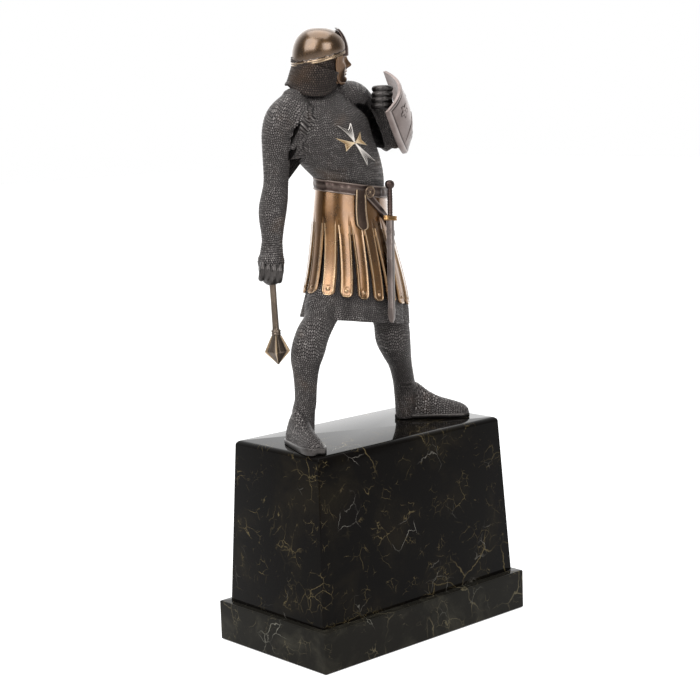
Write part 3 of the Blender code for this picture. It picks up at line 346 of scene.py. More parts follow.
# %% Shader helpers
class Nodes:
    """A short hand for building one material's node tree."""

    def __init__(self, name):
        self.material = bpy.data.materials.new(name)
        self.material.use_nodes = True
        self.tree = self.material.node_tree
        self.shader = self.tree.nodes["Principled BSDF"]

    def add(self, kind, **values):
        """A node of one kind with its plain properties set."""
        node = self.tree.nodes.new(kind)
        for key, value in values.items():
            setattr(node, key, value)
        return node

    def put(self, socket, value):
        """Set a socket's constant, or link an output to it."""
        if isinstance(value, bpy.types.NodeSocket):
            self.tree.links.new(value, socket)
        else:
            socket.default_value = value

    def math(self, operation, a, b=0.0, clamp=False):
        """One arithmetic step on two values."""
        node = self.add("ShaderNodeMath", operation=operation, use_clamp=clamp)
        self.put(node.inputs[0], a)
        self.put(node.inputs[1], b)
        return node.outputs[0]

    def remap(self, value, low, high, new_low=0.0, new_high=1.0):
        """A smooth step of the value from one range to another."""
        node = self.add("ShaderNodeMapRange", interpolation_type="SMOOTHSTEP")
        for socket, number in zip(node.inputs[:5], (value, low, high, new_low, new_high)):
            self.put(socket, number)
        return node.outputs[0]

    def mix(self, factor, a, b):
        """Two colours mixed: a at factor 0, b at factor 1."""
        node = self.add("ShaderNodeMix", data_type="RGBA", blend_type="MIX")
        self.put(node.inputs[0], factor)
        self.put(node.inputs[6], a)
        self.put(node.inputs[7], b)
        return node.outputs[2]

    def place(self):
        """The object's own coordinates."""
        return self.add("ShaderNodeTexCoord").outputs["Object"]

    def noise(self, scale, detail=3.0, rough=0.55, vector=None):
        """Noise in object space."""
        node = self.add("ShaderNodeTexNoise")
        self.put(node.inputs["Vector"], self.place() if vector is None else vector)
        self.put(node.inputs["Scale"], scale)
        self.put(node.inputs["Detail"], detail)
        self.put(node.inputs["Roughness"], rough)
        return node.outputs["Fac"]

    def attribute(self, name, output="Fac"):
        """A value that the mesh carries."""
        return self.add("ShaderNodeAttribute", attribute_name=name).outputs[output]

    def bump(self, height, strength, distance):
        """A normal bent by a height."""
        node = self.add("ShaderNodeBump")
        self.put(node.inputs["Height"], height)
        self.put(node.inputs["Strength"], strength)
        self.put(node.inputs["Distance"], distance)
        return node.outputs[0]

    def finish(self, colour, roughness, metallic=1.0, normal=None, **constants):
        """The shader's colour, gloss, metal and other constants, and the finished material."""
        self.put(self.shader.inputs["Base Color"], colour)
        self.put(self.shader.inputs["Roughness"], roughness)
        self.shader.inputs["Metallic"].default_value = metallic
        if normal is not None:
            self.put(self.shader.inputs["Normal"], normal)
        for key, value in constants.items():
            self.shader.inputs[key.replace("_", " ")].default_value = value
        return self.material


def ring_cells(nodes):
    """Each ring's wire and a random number of its own.

    The wire is high where the distance from the cell's middle is near the ring's radius, and every
    second row leans the other way, as real mail does. The number comes from the cell's whole-number
    place in the grid.
    """
    mail = nodes.attribute("mail", "Vector")
    parts = nodes.add("ShaderNodeSeparateXYZ")
    nodes.put(parts.inputs[0], mail)
    across, along = parts.outputs[0], parts.outputs[1]
    row = nodes.math("FLOOR", along)
    odd = nodes.math("MODULO", nodes.math("ABSOLUTE", row), 2.0)
    shifted = nodes.math("ADD", across, nodes.math("MULTIPLY", odd, 0.5))
    g = nodes.math("SUBTRACT", nodes.math("FRACT", shifted), 0.5)
    f = nodes.math("SUBTRACT", nodes.math("FRACT", along), 0.5)
    square = nodes.math("ADD", nodes.math("MULTIPLY", g, g), nodes.math("MULTIPLY", f, f))
    away = nodes.math("ABSOLUTE", nodes.math("SUBTRACT", nodes.math("SQRT", square), 0.31))
    wire = nodes.remap(away, 0.02, 0.19, 1.0, 0.0)
    side = nodes.math("SUBTRACT", nodes.math("MULTIPLY", odd, 2.0), 1.0)
    leaned = nodes.math("ADD", wire, nodes.math("MULTIPLY", nodes.math("MULTIPLY", g, side), 0.8))
    cell = nodes.add("ShaderNodeCombineXYZ")
    nodes.put(cell.inputs[0], nodes.math("FLOOR", shifted))
    nodes.put(cell.inputs[1], row)
    chance = nodes.add("ShaderNodeTexWhiteNoise", noise_dimensions="3D")
    nodes.put(chance.inputs["Vector"], cell.outputs[0])
    return leaned, chance.outputs["Value"]


def mail_bronze(name, dark, mid, light, brown, browned=0.35):
    """Dark patinated mail: hollows nearly black, crests rubbed grey as wear and lit by a painted glint
    that differs from ring to ring.
    """
    nodes = Nodes(name)
    ring, chance = ring_cells(nodes)
    crest = nodes.attribute("crest")
    height = nodes.math("ADD", nodes.math("MULTIPLY", crest, 0.6),
                        nodes.math("MULTIPLY", ring, 0.4))
    base = nodes.mix(nodes.remap(height, 0.15, 0.8), dark, mid)
    patch = nodes.remap(nodes.noise(34.0, 3.0), 0.52, 0.74)
    base = nodes.mix(nodes.math("MULTIPLY", patch, browned), base, brown)
    worn = nodes.remap(nodes.noise(70.0, 4.0), 0.3, 0.68, 0.35, 1.0)
    # Painted glint: each ring's random number scales how bright its crest turns, on top of the wear
    own = nodes.math("POWER", chance, 1.6)
    rub = nodes.math("MULTIPLY", nodes.remap(height, 0.42, 0.95),
                     nodes.math("MULTIPLY", worn, own), clamp=True)
    base = nodes.mix(rub, base, light)
    rough = nodes.remap(rub, 0.0, 1.0, 0.46, 0.30)
    normal = nodes.bump(ring, 0.6, 0.0006)
    return nodes.finish(base, rough, 0.8, normal)


def smooth_bronze(name, base, deep, worn_tint, rough, grain=0.12, coat=0.0):
    """Polished or plain cast bronze: a soft mottle in the colour and a fine waviness in the gloss.

    Where crest is above zero the metal is rubbed bright, and below zero a groove holds dark wax.
    """
    nodes = Nodes(name)
    mottle = nodes.remap(nodes.noise(46.0, 5.0), 0.32, 0.72)
    colour = nodes.mix(mottle, base, deep)
    fleck = nodes.remap(nodes.noise(520.0, 3.0), 0.58, 0.78)
    colour = nodes.mix(nodes.math("MULTIPLY", fleck, 0.22), colour, worn_tint)
    rub = nodes.attribute("crest")
    colour = nodes.mix(nodes.math("MULTIPLY", rub, 0.75, clamp=True), colour, worn_tint)
    groove = nodes.math("MULTIPLY", rub, -0.9, clamp=True)
    colour = nodes.mix(groove, colour, (deep[0] * 0.2, deep[1] * 0.2, deep[2] * 0.2, 1.0))
    gloss = nodes.remap(nodes.noise(120.0, 3.0), 0.3, 0.75, rough * 0.85, rough * 1.2)
    normal = nodes.bump(nodes.noise(700.0, 2.0), grain, 0.00006)
    return nodes.finish(colour, gloss, 1.0, normal,
                        Coat_Weight=coat, Coat_Roughness=0.2, Coat_IOR=1.6)


def veined_marble(name, ground, olive, ochre, pale, cloud):
    """Black marble: warped Voronoi cell edges are the veins, and noise thins them out in places."""
    nodes = Nodes(name)
    place = nodes.place()
    warp = nodes.add("ShaderNodeTexNoise")
    nodes.put(warp.inputs["Vector"], place)
    nodes.put(warp.inputs["Scale"], 18.0)
    nodes.put(warp.inputs["Detail"], 5.0)
    centred = nodes.add("ShaderNodeVectorMath", operation="SUBTRACT")
    nodes.put(centred.inputs[0], warp.outputs["Color"])
    centred.inputs[1].default_value = (0.5, 0.5, 0.5)
    bent = nodes.add("ShaderNodeVectorMath", operation="MULTIPLY_ADD")
    nodes.put(bent.inputs[0], centred.outputs[0])
    bent.inputs[1].default_value = (0.05, 0.05, 0.05)
    nodes.put(bent.inputs[2], place)
    clouds = nodes.remap(nodes.noise(cloud, 6.0, 0.6, bent.outputs[0]), 0.45, 0.8)
    colour = nodes.mix(clouds, ground, olive)
    # Cells to a metre, the vein's width in cells, the noise where it starts and is full, its tint
    for scale, width, low, high, tint in (
            (24.0, 0.016, 0.50, 0.66, ochre), (44.0, 0.013, 0.56, 0.72, pale),
            (80.0, 0.022, 0.52, 0.69, ochre), (150.0, 0.030, 0.55, 0.70, ochre)):
        cells = nodes.add("ShaderNodeTexVoronoi", feature="DISTANCE_TO_EDGE")
        nodes.put(cells.inputs["Vector"], bent.outputs[0])
        nodes.put(cells.inputs["Scale"], scale)
        vein = nodes.remap(cells.outputs["Distance"], 0.0, width, 1.0, 0.0)
        gate = nodes.remap(nodes.noise(scale * 0.55, 3.0), low, high)
        colour = nodes.mix(nodes.math("MULTIPLY", vein, gate, clamp=True), colour, tint)
    gloss = nodes.remap(nodes.noise(60.0, 3.0), 0.3, 0.8, 0.04, 0.10)
    normal = nodes.bump(nodes.noise(300.0, 2.0), 0.03, 0.0001)
    return nodes.finish(colour, gloss, 0.0, normal, IOR=1.5, Specular_IOR_Level=0.04)


# %% The finishes
# The pale crest colour stands for rubbed metal and for painted glint
MAIL = mail_bronze("mail_bronze", (0.020, 0.018, 0.018, 1), (0.105, 0.094, 0.090, 1),
                   (0.62, 0.58, 0.55, 1), (0.12, 0.080, 0.055, 1))
# The hood's mail: a browner copy of the mail finish, darkened all over as painted shade for the shade the
# hood lies in
SHADED_COIF_MAIL = mail_bronze("coif_mail_shaded_bronze", (0.010, 0.008, 0.007, 1), (0.045, 0.034, 0.030, 1),
                        (0.22, 0.175, 0.145, 1), (0.06, 0.035, 0.02, 1), 0.6)
GOLDEN = smooth_bronze("golden_bronze", (0.175, 0.077, 0.016, 1), (0.120, 0.051, 0.010, 1),
                       (0.50, 0.35, 0.19, 1), 0.30, 0.02, coat=1.0)
CAP_FINISH = smooth_bronze("cap_bronze", (0.080, 0.038, 0.009, 1), (0.052, 0.024, 0.006, 1),
                           (0.42, 0.30, 0.17, 1), 0.30, 0.02, coat=1.0)
SKIN = smooth_bronze("face_bronze", (0.19, 0.115, 0.065, 1), (0.11, 0.062, 0.035, 1),
                     (0.50, 0.36, 0.22, 1), 0.34, coat=0.2)
HANDS = smooth_bronze("hand_bronze", (0.075, 0.069, 0.066, 1), (0.034, 0.031, 0.030, 1),
                      (0.38, 0.35, 0.32, 1), 0.38, 0.3)
LEATHER = smooth_bronze("belt_bronze", (0.068, 0.048, 0.042, 1), (0.036, 0.026, 0.024, 1),
                        (0.27, 0.22, 0.19, 1), 0.36, 0.2)
TONGUE_FINISH = smooth_bronze("tongue_bronze", (0.085, 0.058, 0.046, 1), (0.042, 0.029, 0.024, 1),
                              (0.62, 0.46, 0.29, 1), 0.34, 0.3)
SHIELD_GREY = smooth_bronze("shield_bronze", (0.205, 0.172, 0.162, 1), (0.125, 0.098, 0.090, 1),
                            (0.42, 0.37, 0.35, 1), 0.36, 0.25)
STEEL_GREY = smooth_bronze("scabbard_bronze", (0.115, 0.094, 0.086, 1), (0.060, 0.048, 0.044, 1),
                           (0.44, 0.40, 0.37, 1), 0.33)
BRASS = smooth_bronze("guard_brass", (0.34, 0.20, 0.085, 1), (0.19, 0.105, 0.045, 1),
                      (0.72, 0.50, 0.28, 1), 0.28)
MACE_FINISH = smooth_bronze("mace_bronze", (0.150, 0.118, 0.092, 1), (0.080, 0.062, 0.050, 1),
                            (0.58, 0.42, 0.25, 1), 0.34, 0.2)
CROSS_METAL = smooth_bronze("cross_bronze", (0.11, 0.098, 0.092, 1), (0.06, 0.052, 0.049, 1),
                            (0.95, 0.90, 0.84, 1), 0.36)
CROSS_GOLD = smooth_bronze("cross_gilding", (0.32, 0.19, 0.07, 1), (0.18, 0.10, 0.04, 1),
                           (0.85, 0.70, 0.48, 1), 0.34)
BLACK_MARBLE = veined_marble("black_marble", (0.0030, 0.0026, 0.0023, 1), (0.010, 0.008, 0.005, 1),
                             (0.085, 0.066, 0.032, 1), (0.16, 0.15, 0.13, 1), 22.0)
OLIVE_MARBLE = veined_marble("olive_marble", (0.0095, 0.0088, 0.0072, 1), (0.027, 0.025, 0.019, 1),
                             (0.080, 0.068, 0.042, 1), (0.15, 0.145, 0.12, 1), 40.0)
print("finishes", len(bpy.data.materials))

# %% [markdown]
# ## The marble block
#
# The plinth and the pedestal are sawn, moulded and polished. A profile of (inset, height) pairs is
# carried round a rectangle with small rounded corners, so the top edge gets its moulding in one
# sweep and the faces stay truly flat.

# %% Marble
def rounded_rectangle(half_length, half_depth, radius, steps=6):
    """Points round a rectangle with quarter-circle corners, anticlockwise."""
    quarter = np.linspace(0.0, math.pi / 2, steps)
    arcs = []
    for turn, sx, sy in ((0, 1, 1), (1, -1, 1), (2, -1, -1), (3, 1, -1)):
        angle = quarter + turn * math.pi / 2
        arcs.append(np.stack([sx * (half_length - radius) + radius * np.cos(angle),
                              sy * (half_depth - radius) + radius * np.sin(angle)], axis=1))
    return np.vstack(arcs)


def stone_block(name, rows, radius, material):
    """Half length, half depth and height rows, in millimetres above the figure's ground."""
    rings = []
    for half_length, half_depth, height in rows:
        flat = rounded_rectangle(half_length, half_depth, radius)
        rings.append(np.column_stack([flat, np.full(len(flat), height)]))
    return make_piece(name + "_stone", tube_mesh(rings), material, sharp=35, node=name)


def quarter_round(start, end, steps=6):
    """A convex quarter-circle between two (inset, height) corners."""
    angle = np.linspace(0.0, math.pi / 2, steps)
    inset = start[0] + (end[0] - start[0]) * (1 - np.cos(angle))
    height = start[1] + (end[1] - start[1]) * np.sin(angle)
    return np.column_stack([inset, height])


PLINTH_HALF = [(PLINTH_HIGH[k] - PLINTH_LOW[k]) / 2 / MM for k in (0, 1)]
PEDESTAL_FOOT = [(PEDESTAL_HIGH[k] - PEDESTAL_LOW[k]) / 2 / MM for k in (0, 1)]
PEDESTAL_TOP = (94.05, 47.15)
MOULDING, CHAMFER, FOOT_CHAMFER = 3.3, 0.9, 0.8
plinth_low, plinth_top = (PLINTH_LOW[2] - GROUND) / MM, (PLINTH_HIGH[2] - GROUND) / MM
block_low, block_top = (PEDESTAL_LOW[2] - GROUND) / MM, (PEDESTAL_HIGH[2] - GROUND) / MM
profile = [(FOOT_CHAMFER, plinth_low), (0.0, plinth_low + FOOT_CHAMFER)]
profile += list(quarter_round((0.0, plinth_top - CHAMFER), (CHAMFER, plinth_top)))
plinth_rows = [(PLINTH_HALF[0] - inset, PLINTH_HALF[1] - inset, height) for inset, height in profile]
stone_block("plinth", plinth_rows, CHAMFER, OLIVE_MARBLE)
edge = quarter_round((0.0, block_top - MOULDING), (MOULDING, block_top))
slope = [(a - b) / (block_top - block_low) for a, b in zip(PEDESTAL_FOOT, PEDESTAL_TOP)]
block_rows = [(*PEDESTAL_FOOT, block_low)]
block_rows += [(PEDESTAL_TOP[0] + slope[0] * (block_top - height) - inset,
                PEDESTAL_TOP[1] + slope[1] * (block_top - height) - inset, height)
               for inset, height in edge]
stone_block("pedestal", block_rows, CHAMFER, BLACK_MARBLE)

# %% [markdown]
# ## Melting the body together
#
# Mail hangs over shoulders and arms as one skin, so the trunk, the limbs and the muscle masses are
# lofted apart and then melted by a voxel Remesh, which fills every joint with a soft fillet. The
# ring pattern comes afterwards, from coordinates worked out for every vertex at once: how far
# along the nearest limb it lies, and at what angle round it.

# %% Melt, smooth and read back
MAIL_VOXEL = 0.47


def melt(meshes, voxel, passes):
    """Voxel remesh and smoothing of overlapping closed forms; returns points and quads."""
    points, quads, triangles = merge_meshes(meshes)
    lump = bpy.data.objects.new("lump", fill_mesh("lump", points, quads, triangles))
    bpy.context.scene.collection.objects.link(lump)
    remesh = lump.modifiers.new("Melt", "REMESH")
    remesh.mode = "VOXEL"
    remesh.voxel_size = voxel
    soften = lump.modifiers.new("Soften", "SMOOTH")
    soften.factor = 0.5
    soften.iterations = passes
    bpy.context.view_layer.update()
    baked = lump.evaluated_get(bpy.context.evaluated_depsgraph_get()).data
    out = np.empty(len(baked.vertices) * 3, dtype=np.float32)
    baked.vertices.foreach_get("co", out)
    corners = np.empty(len(baked.loops), dtype=np.int32)
    baked.loops.foreach_get("vertex_index", corners)
    bpy.data.objects.remove(lump, do_unlink=True)
    return out.reshape(-1, 3).astype(float), corners.reshape(-1, 4)


def vertex_normals(points, quads):
    """Each vertex's normal: the sum of the cross products of its faces' diagonals."""
    face = np.cross(points[quads[:, 2]] - points[quads[:, 0]],
                    points[quads[:, 3]] - points[quads[:, 1]])
    total = np.zeros_like(points)
    for corner in range(4):
        for axis in range(3):
            total[:, axis] += np.bincount(quads[:, corner], weights=face[:, axis],
                                          minlength=len(points))
    return unit(total)


def orient(points, quads):
    """Quads turned to face outwards."""
    return quads[:, ::-1] if signed_volume(points, quads, NO_TRIANGLES) < 0 else quads


# %% [markdown]
# ### Ring coordinates
#
# Rows of rings run round a limb, and each next row is shifted by half a ring. The coordinate round
# the limb is a length, not an angle, so that the rings keep one size from the wrist to the shoulder,
# and the line where the pattern meets itself lies on the side turned to the body or to the back. The
# pitch of 1.55 mm is what the work shows beside its own height.

# %% Coordinates along limbs and round the trunk
def limb_place(points, rows, hint=(0.0, -1.0, 0.0)):
    """For each point: distance to the limb's skin, length along the path and angle round it.

    Each span of the path lies between two planes square to the path at its ends. A point between
    them gets the share of the span that its distances to the two planes give, so the length runs
    on without a jump from span to span.
    """
    rows = smooth_rows(rows, 4)
    path = rows[:, :3]
    run = np.concatenate([[0.0], np.cumsum(np.linalg.norm(np.diff(path, axis=0), axis=1))])
    tangent = unit(np.gradient(path, axis=0))
    best = np.full(len(points), 1e9)
    radius, along, angle = (np.zeros(len(points)) for _ in range(3))
    last = len(path) - 2
    for index in range(last + 1):
        before = (points - path[index]) @ tangent[index]
        after = (points - path[index + 1]) @ tangent[index + 1]
        held = ((before >= 0.0) | (index == 0)) & ((after < 0.0) | (index == last))
        share = np.clip(before / np.maximum(before - after, 1e-6), 0.0, 1.0)
        spoke = points - path[index] - share[:, None] * (path[index + 1] - path[index])
        away = np.linalg.norm(spoke, axis=1)
        ahead = unit(tangent[index] + share[:, None] * (tangent[index + 1] - tangent[index]))
        side = unit(np.cross(ahead, np.array(hint)))
        front = np.cross(side, ahead)
        nearer = held & (away < best)
        best = np.where(nearer, away, best)
        radius = np.where(nearer, rows[index, 3] + share * (rows[index + 1, 3] - rows[index, 3]), radius)
        beyond = ((np.minimum(before, 0.0) if index == 0 else 0.0)
                  + (np.maximum(after, 0.0) if index == last else 0.0))
        along = np.where(nearer, run[index] + share * (run[index + 1] - run[index]) + beyond, along)
        turn = np.arctan2(np.sum(spoke * front, axis=1), np.sum(spoke * side, axis=1))
        angle = np.where(nearer, turn, angle)
    return best - radius, along, angle


def trunk_place(points, table):
    """For each point: rough distance to the sections' skin, its level, its angle and its length down.

    The length down is the arc of the trunk's profile at that level, less the distance by which the
    point stands out of the section, so that it also runs on over the flat tops of the shoulders.
    """
    rows = smooth_rows(table, 6)
    rows = rows[np.argsort(rows[:, 2])]
    profile = np.column_stack([(rows[:, 3] + rows[:, 4]) / 2, rows[:, 2]])
    arc = np.concatenate([[0.0], np.cumsum(np.linalg.norm(np.diff(profile, axis=0), axis=1))])
    level = points[:, 2].copy()
    for _ in range(3):
        x, y, wide, deep, lean, pitch = (np.interp(level, rows[:, 2], rows[:, k])
                                         for k in (0, 1, 3, 4, 5, 6))
        lean, pitch = np.radians(lean), np.radians(pitch)
        level = points[:, 2] + (points[:, 0] - x) * np.tan(lean) - (points[:, 1] - y) * np.tan(pitch)
    u, v = (points[:, 0] - x) / wide, (points[:, 1] - y) / deep
    stand = (np.hypot(u, v) - 1.0) * np.sqrt(wide * deep)
    over = np.maximum(points[:, 2] - rows[-1, 2], 0.0)
    return stand + over, level, np.arctan2(v, u), np.interp(level, rows[:, 2], arc) + over - stand


def wander(points, u, v):
    """Ring coordinates with the rows bent by a few slow waves through space, as worn mail hangs."""
    x, y, z = points[..., 0], points[..., 1], points[..., 2]
    u = u + 0.45 * np.sin(0.23 * z + 0.11 * x) + 0.25 * np.sin(0.61 * z - 0.43 * y)
    v = v + 0.50 * np.sin(0.19 * x + 0.23 * y + 0.05 * z) + 0.28 * np.sin(0.57 * x - 0.49 * y)
    return u, v


def mail_relief(u, v):
    """Height of the rings from 0 to 1: a round crest in each cell of a brick-shifted grid."""
    row = np.floor(v)
    g = np.mod(u + 0.5 * np.mod(row, 2.0), 1.0) - 0.5
    f = v - row - 0.5
    return (0.5 + 0.5 * np.cos(2 * math.pi * g)) * (0.5 + 0.5 * np.cos(2 * math.pi * f)) ** 0.7


RING_PITCH = 1.55
RING_RELIEF = 0.30


def round_limb(angle, along, rows):
    """Rings passed on the way round a limb: the angle times the limb's radius there, over the pitch."""
    rows = smooth_rows(rows, 4)
    run = np.concatenate([[0.0], np.cumsum(np.linalg.norm(np.diff(rows[:, :3], axis=0), axis=1))])
    return angle * np.interp(along, run, rows[:, 3]) / RING_PITCH


def round_trunk(angle, level, table):
    """Rings passed from the middle of the front: the arc of the section's ellipse, over the pitch."""
    rows = smooth_rows(table, 6)
    rows = rows[np.argsort(rows[:, 2])]
    fine = np.linspace(-math.pi, math.pi, 721)
    flatness = np.mean(rows[:, 4] / rows[:, 3])
    speed = np.hypot(np.cos(fine), flatness * np.sin(fine))
    arc = np.concatenate([[0.0], np.cumsum((speed[1:] + speed[:-1]) / 2 * np.diff(fine))])
    arc -= np.interp(0.0, fine, arc)
    from_front = np.mod(angle + math.pi / 2 + math.pi, 2 * math.pi) - math.pi
    return np.interp(from_front, fine, arc) * np.interp(level, rows[:, 2], rows[:, 3]) / RING_PITCH


print("ring pitch", RING_PITCH, "mm")


# %% [markdown]
# ### Folds
#
# Heavy mail sags into soft rolls above the belt, inside the elbow and under the raised arm. Each
# fold is a ridge with a bell-shaped cross-section along a short line, and all of them are added
# to the skin before the rings are.

# %% Folds of the mail
def fold_lift(points, folds):
    """Sum of bell-shaped ridges: each fold has two ends, a width and a height in millimetres."""
    lift = np.zeros(len(points))
    for start, end, width, height in folds:
        start, end = np.array(start), np.array(end)
        ahead = end - start
        t = np.clip(((points - start) @ ahead) / (ahead @ ahead), 0.0, 1.0)
        away = np.linalg.norm(points - start - t[:, None] * ahead, axis=1)
        lift += height * bell(away, width) * np.sin(math.pi * np.clip(t, 0.03, 0.97)) ** 0.5
    return lift


TORSO_FOLDS = (
    ((-68.4, -14.7, 238.7), (-67.3, -14.0, 229.5), 2.2, 0.8),
    ((-58.0, -15.8, 238.3), (-60.2, -15.0, 219.3), 1.8, 0.7),
    ((-66.0, -15.5, 237.5), (-56.0, -17.0, 236.0), 1.3, -0.9),
    ((-62.0, -16.0, 230.5), (-56.0, -18.5, 229.0), 1.3, -0.7),
    ((-67.0, -13.0, 226.0), (-60.0, -15.5, 217.5), 2.0, 0.8),
    ((-58.5, -15.5, 218.0), (-53.0, -18.0, 226.0), 1.8, 0.7),
    ((-72.3, -12.3, 233.3), (-68.2, -9.9, 215.4), 2.0, -0.8),
    ((-66.0, -9.0, 213.0), (-56.0, -16.0, 208.0), 1.8, 0.8),
    ((-60.0, -11.0, 208.0), (-45.0, -19.0, 205.0), 1.6, -0.8),
    ((-52.0, -12.0, 205.0), (-34.0, -20.0, 201.0), 2.0, 0.9),
    ((-47.0, -11.0, 199.0), (-28.0, -20.0, 195.5), 1.6, -0.8),
    ((-42.0, -13.0, 195.5), (-22.0, -20.5, 191.5), 1.9, 0.8),
    ((-12.0, -20.5, 199.3), (4.0, -17.3, 195.6), 1.8, 0.8),
    ((-14.0, -20.0, 194.5), (8.0, -15.0, 190.0), 1.5, -0.7),
    ((-8.0, -19.7, 191.9), (10.0, -13.0, 187.5), 1.8, 0.8),
    ((-22.0, -19.0, 241.0), (-8.0, -15.0, 233.0), 2.2, 0.7),
    ((-48.0, -13.0, 247.0), (-30.0, -14.0, 246.0), 2.0, 0.6),
    ((-62.0, 12.0, 214.0), (-40.0, 22.0, 206.0), 2.6, 1.0),
    ((-52.0, 16.0, 204.0), (-24.0, 22.0, 198.0), 2.4, 1.0),
    ((-30.0, 21.0, 196.0), (4.0, 17.0, 192.0), 2.4, 1.0),
    ((-60.0, 14.0, 240.0), (-46.0, 20.0, 224.0), 2.8, 0.8),
    ((-20.0, 16.0, 242.0), (-30.0, 22.0, 226.0), 2.8, 0.8),
)
ARM_FOLDS = (
    ((-78.0, -6.0, 226.0), (-70.0, -9.0, 221.0), 1.5, -0.8),
    ((-80.0, -6.5, 220.0), (-70.5, -7.5, 216.0), 1.5, 0.7),
    ((-87.0, -2.0, 197.0), (-74.0, -4.0, 193.0), 1.7, 0.7),
    ((-88.0, -1.0, 191.0), (-76.0, -5.0, 187.0), 1.6, 0.6),
    ((-88.0, 4.0, 198.0), (-74.0, 12.0, 194.0), 1.8, 0.7),
    ((4.0, -8.0, 240.0), (14.0, -8.0, 230.0), 2.0, 0.8),
    ((24.0, -8.0, 214.0), (34.0, -8.0, 210.0), 2.0, 0.7),
)


# %% Splitting a skin into closed pieces
def closed_part(points, quads, flat_end=False):
    """The vertices that some quads use, and their shape closed by a fan from its border.

    The fan meets in the part's middle, inside the body, or with flat_end in the border's own.
    """
    used, flat = np.unique(quads, return_inverse=True)
    local, count = flat.reshape(-1, 4), len(used)
    edges = np.stack([local, np.roll(local, -1, axis=1)], axis=-1).reshape(-1, 2)
    codes = edges[:, 0].astype(np.int64) * count + edges[:, 1]
    twins = edges[:, 1].astype(np.int64) * count + edges[:, 0]
    border = edges[~np.isin(codes, twins)]
    held = points[used][np.unique(border)] if flat_end else points[used]
    fan = np.column_stack([border[:, 1], border[:, 0], np.full(len(border), count)])
    return used, (np.vstack([points[used], held.mean(axis=0)]), local, fan)


def split_skin(points, quads, label, normals, crest, mail, pieces):
    """Cut a skin by the faces' labels into closed mail pieces that share their normals."""
    for key, name in enumerate(pieces):
        used, shape = closed_part(points, quads[label == key])
        piece = make_piece(name, shape, MAIL, np.append(crest[used], 0.0),
                           np.vstack([mail[used], [0.0, 0.0, 0.0]]))
        piece.data.normals_split_custom_set_from_vertices(np.vstack([normals[used], [0.0, 0.0, 1.0]]))


# %% The mail shirt: trunk and both arms
shirt = [tube_mesh(section(smooth_rows(TORSO, 4)[:, None, :], turns(40)[None, :]))]
shirt += [tube_mesh(limb_rings(smooth_rows(rows, 4)))
          for rows in (RIGHT_ARM, LEFT_ARM, SHOULDER_LINE, NECK)]
shirt += [ball_mesh(mass[:3], mass[3:]) for mass in MASSES]
shirt += [ball_mesh(rows[-1][:3], (rows[-1][3],) * 3) for rows in (RIGHT_ARM, LEFT_ARM)]
points, quads = melt(shirt, MAIL_VOXEL, 66)
quads = orient(points, quads)

# The neck is drawn in, so that it stays under the hood
NECK_LOW, NECK_TUCK, NECK_REACH, NECK_FADE = 250.0, 6.0, 24.0, 6.0
neck = np.array(NECK, dtype=float)
neck = neck[np.argsort(neck[:, 2])]
axis = np.column_stack([np.interp(points[:, 2], neck[:, 2], neck[:, k]) for k in (0, 1)])
spoke = points[:, :2] - axis
tuck = NECK_TUCK * np.clip((points[:, 2] - NECK_LOW) / NECK_FADE, 0.0, 1.0)
tuck = tuck * np.clip((NECK_REACH - np.linalg.norm(spoke, axis=1)) / NECK_FADE, 0.0, 1.0)
points[:, :2] = points[:, :2] - unit(spoke) * tuck[:, None]

# The top of the right shoulder is let down a little
SHOULDER_TOP, SHOULDER_GIVE, SHOULDER_SIDE, SHOULDER_FADE = 254.0, 0.6, -34.0, 8.0
high = np.maximum(points[:, 2] - SHOULDER_TOP, 0.0)
high = high * np.clip((SHOULDER_SIDE - points[:, 0]) / SHOULDER_FADE, 0.0, 1.0)
points[:, 2] = points[:, 2] - (1.0 - SHOULDER_GIVE) * high
print("shirt vertices", len(points))

# %% Rings on the shirt
trunk_gap, trunk_level, trunk_angle, trunk_down = trunk_place(points, TORSO)
right_gap, right_along, right_angle = limb_place(points, RIGHT_ARM)
left_gap, left_along, left_angle = limb_place(points, LEFT_ARM[:6])
fore_gap, fore_along, fore_angle = limb_place(points, LEFT_ARM[5:])
gaps = np.stack([trunk_gap - 1.5, right_gap, left_gap, fore_gap])
owner = np.argmin(gaps, axis=0)
along = np.choose(owner, [trunk_down, -right_along, left_along, fore_along])
mail_u = np.choose(owner, [round_trunk(trunk_angle, trunk_level, TORSO),
                           round_limb(right_angle, right_along, RIGHT_ARM),
                           round_limb(left_angle, left_along, LEFT_ARM[:6]),
                           round_limb(fore_angle, fore_along, LEFT_ARM[5:])])
mail_u, mail_v = wander(points, mail_u, along / RING_PITCH)
crest = mail_relief(mail_u, mail_v)
normals = vertex_normals(points, quads)

# The folds fade out below the top of the shoulders
FOLD_GAIN, FOLD_TOP, FOLD_FADE = 1.5, 248.0, 8.0
fade = np.clip((FOLD_TOP - points[:, 2]) / FOLD_FADE, 0.0, 1.0)
lift = fold_lift(points, TORSO_FOLDS + ARM_FOLDS) * fade
points = points + normals * (FOLD_GAIN * lift)[:, None]
normals = vertex_normals(points, quads)
points = points + normals * ((crest - 0.5) * RING_RELIEF)[:, None]
normals = vertex_normals(points, quads)
middles = points[quads].mean(axis=1)

# The sleeves begin beyond a plane: upright on the right, and sloping with the arm on the left
RIGHT_CUT, RIGHT_TOP = -70.5, 262.0
LEFT_CUT, LEFT_SLOPE, LEFT_MIDDLE, LEFT_LOW = 2.0, 0.75, 240.0, 196.0
right_side = (middles[:, 0] < RIGHT_CUT) & (middles[:, 2] < RIGHT_TOP)
left_side = (middles[:, 0] + LEFT_SLOPE * (middles[:, 2] - LEFT_MIDDLE)) > LEFT_CUT
left_side &= middles[:, 2] > LEFT_LOW
label = np.where(right_side, 2, np.where(left_side, 3, np.where(middles[:, 1] > 0.0, 1, 0)))
split_skin(points, quads, label, normals, crest, ring_place(mail_u, mail_v),
           ("mail_chest", "mail_back", "mail_right_sleeve", "mail_left_sleeve"))
SHIRT_POINTS = points

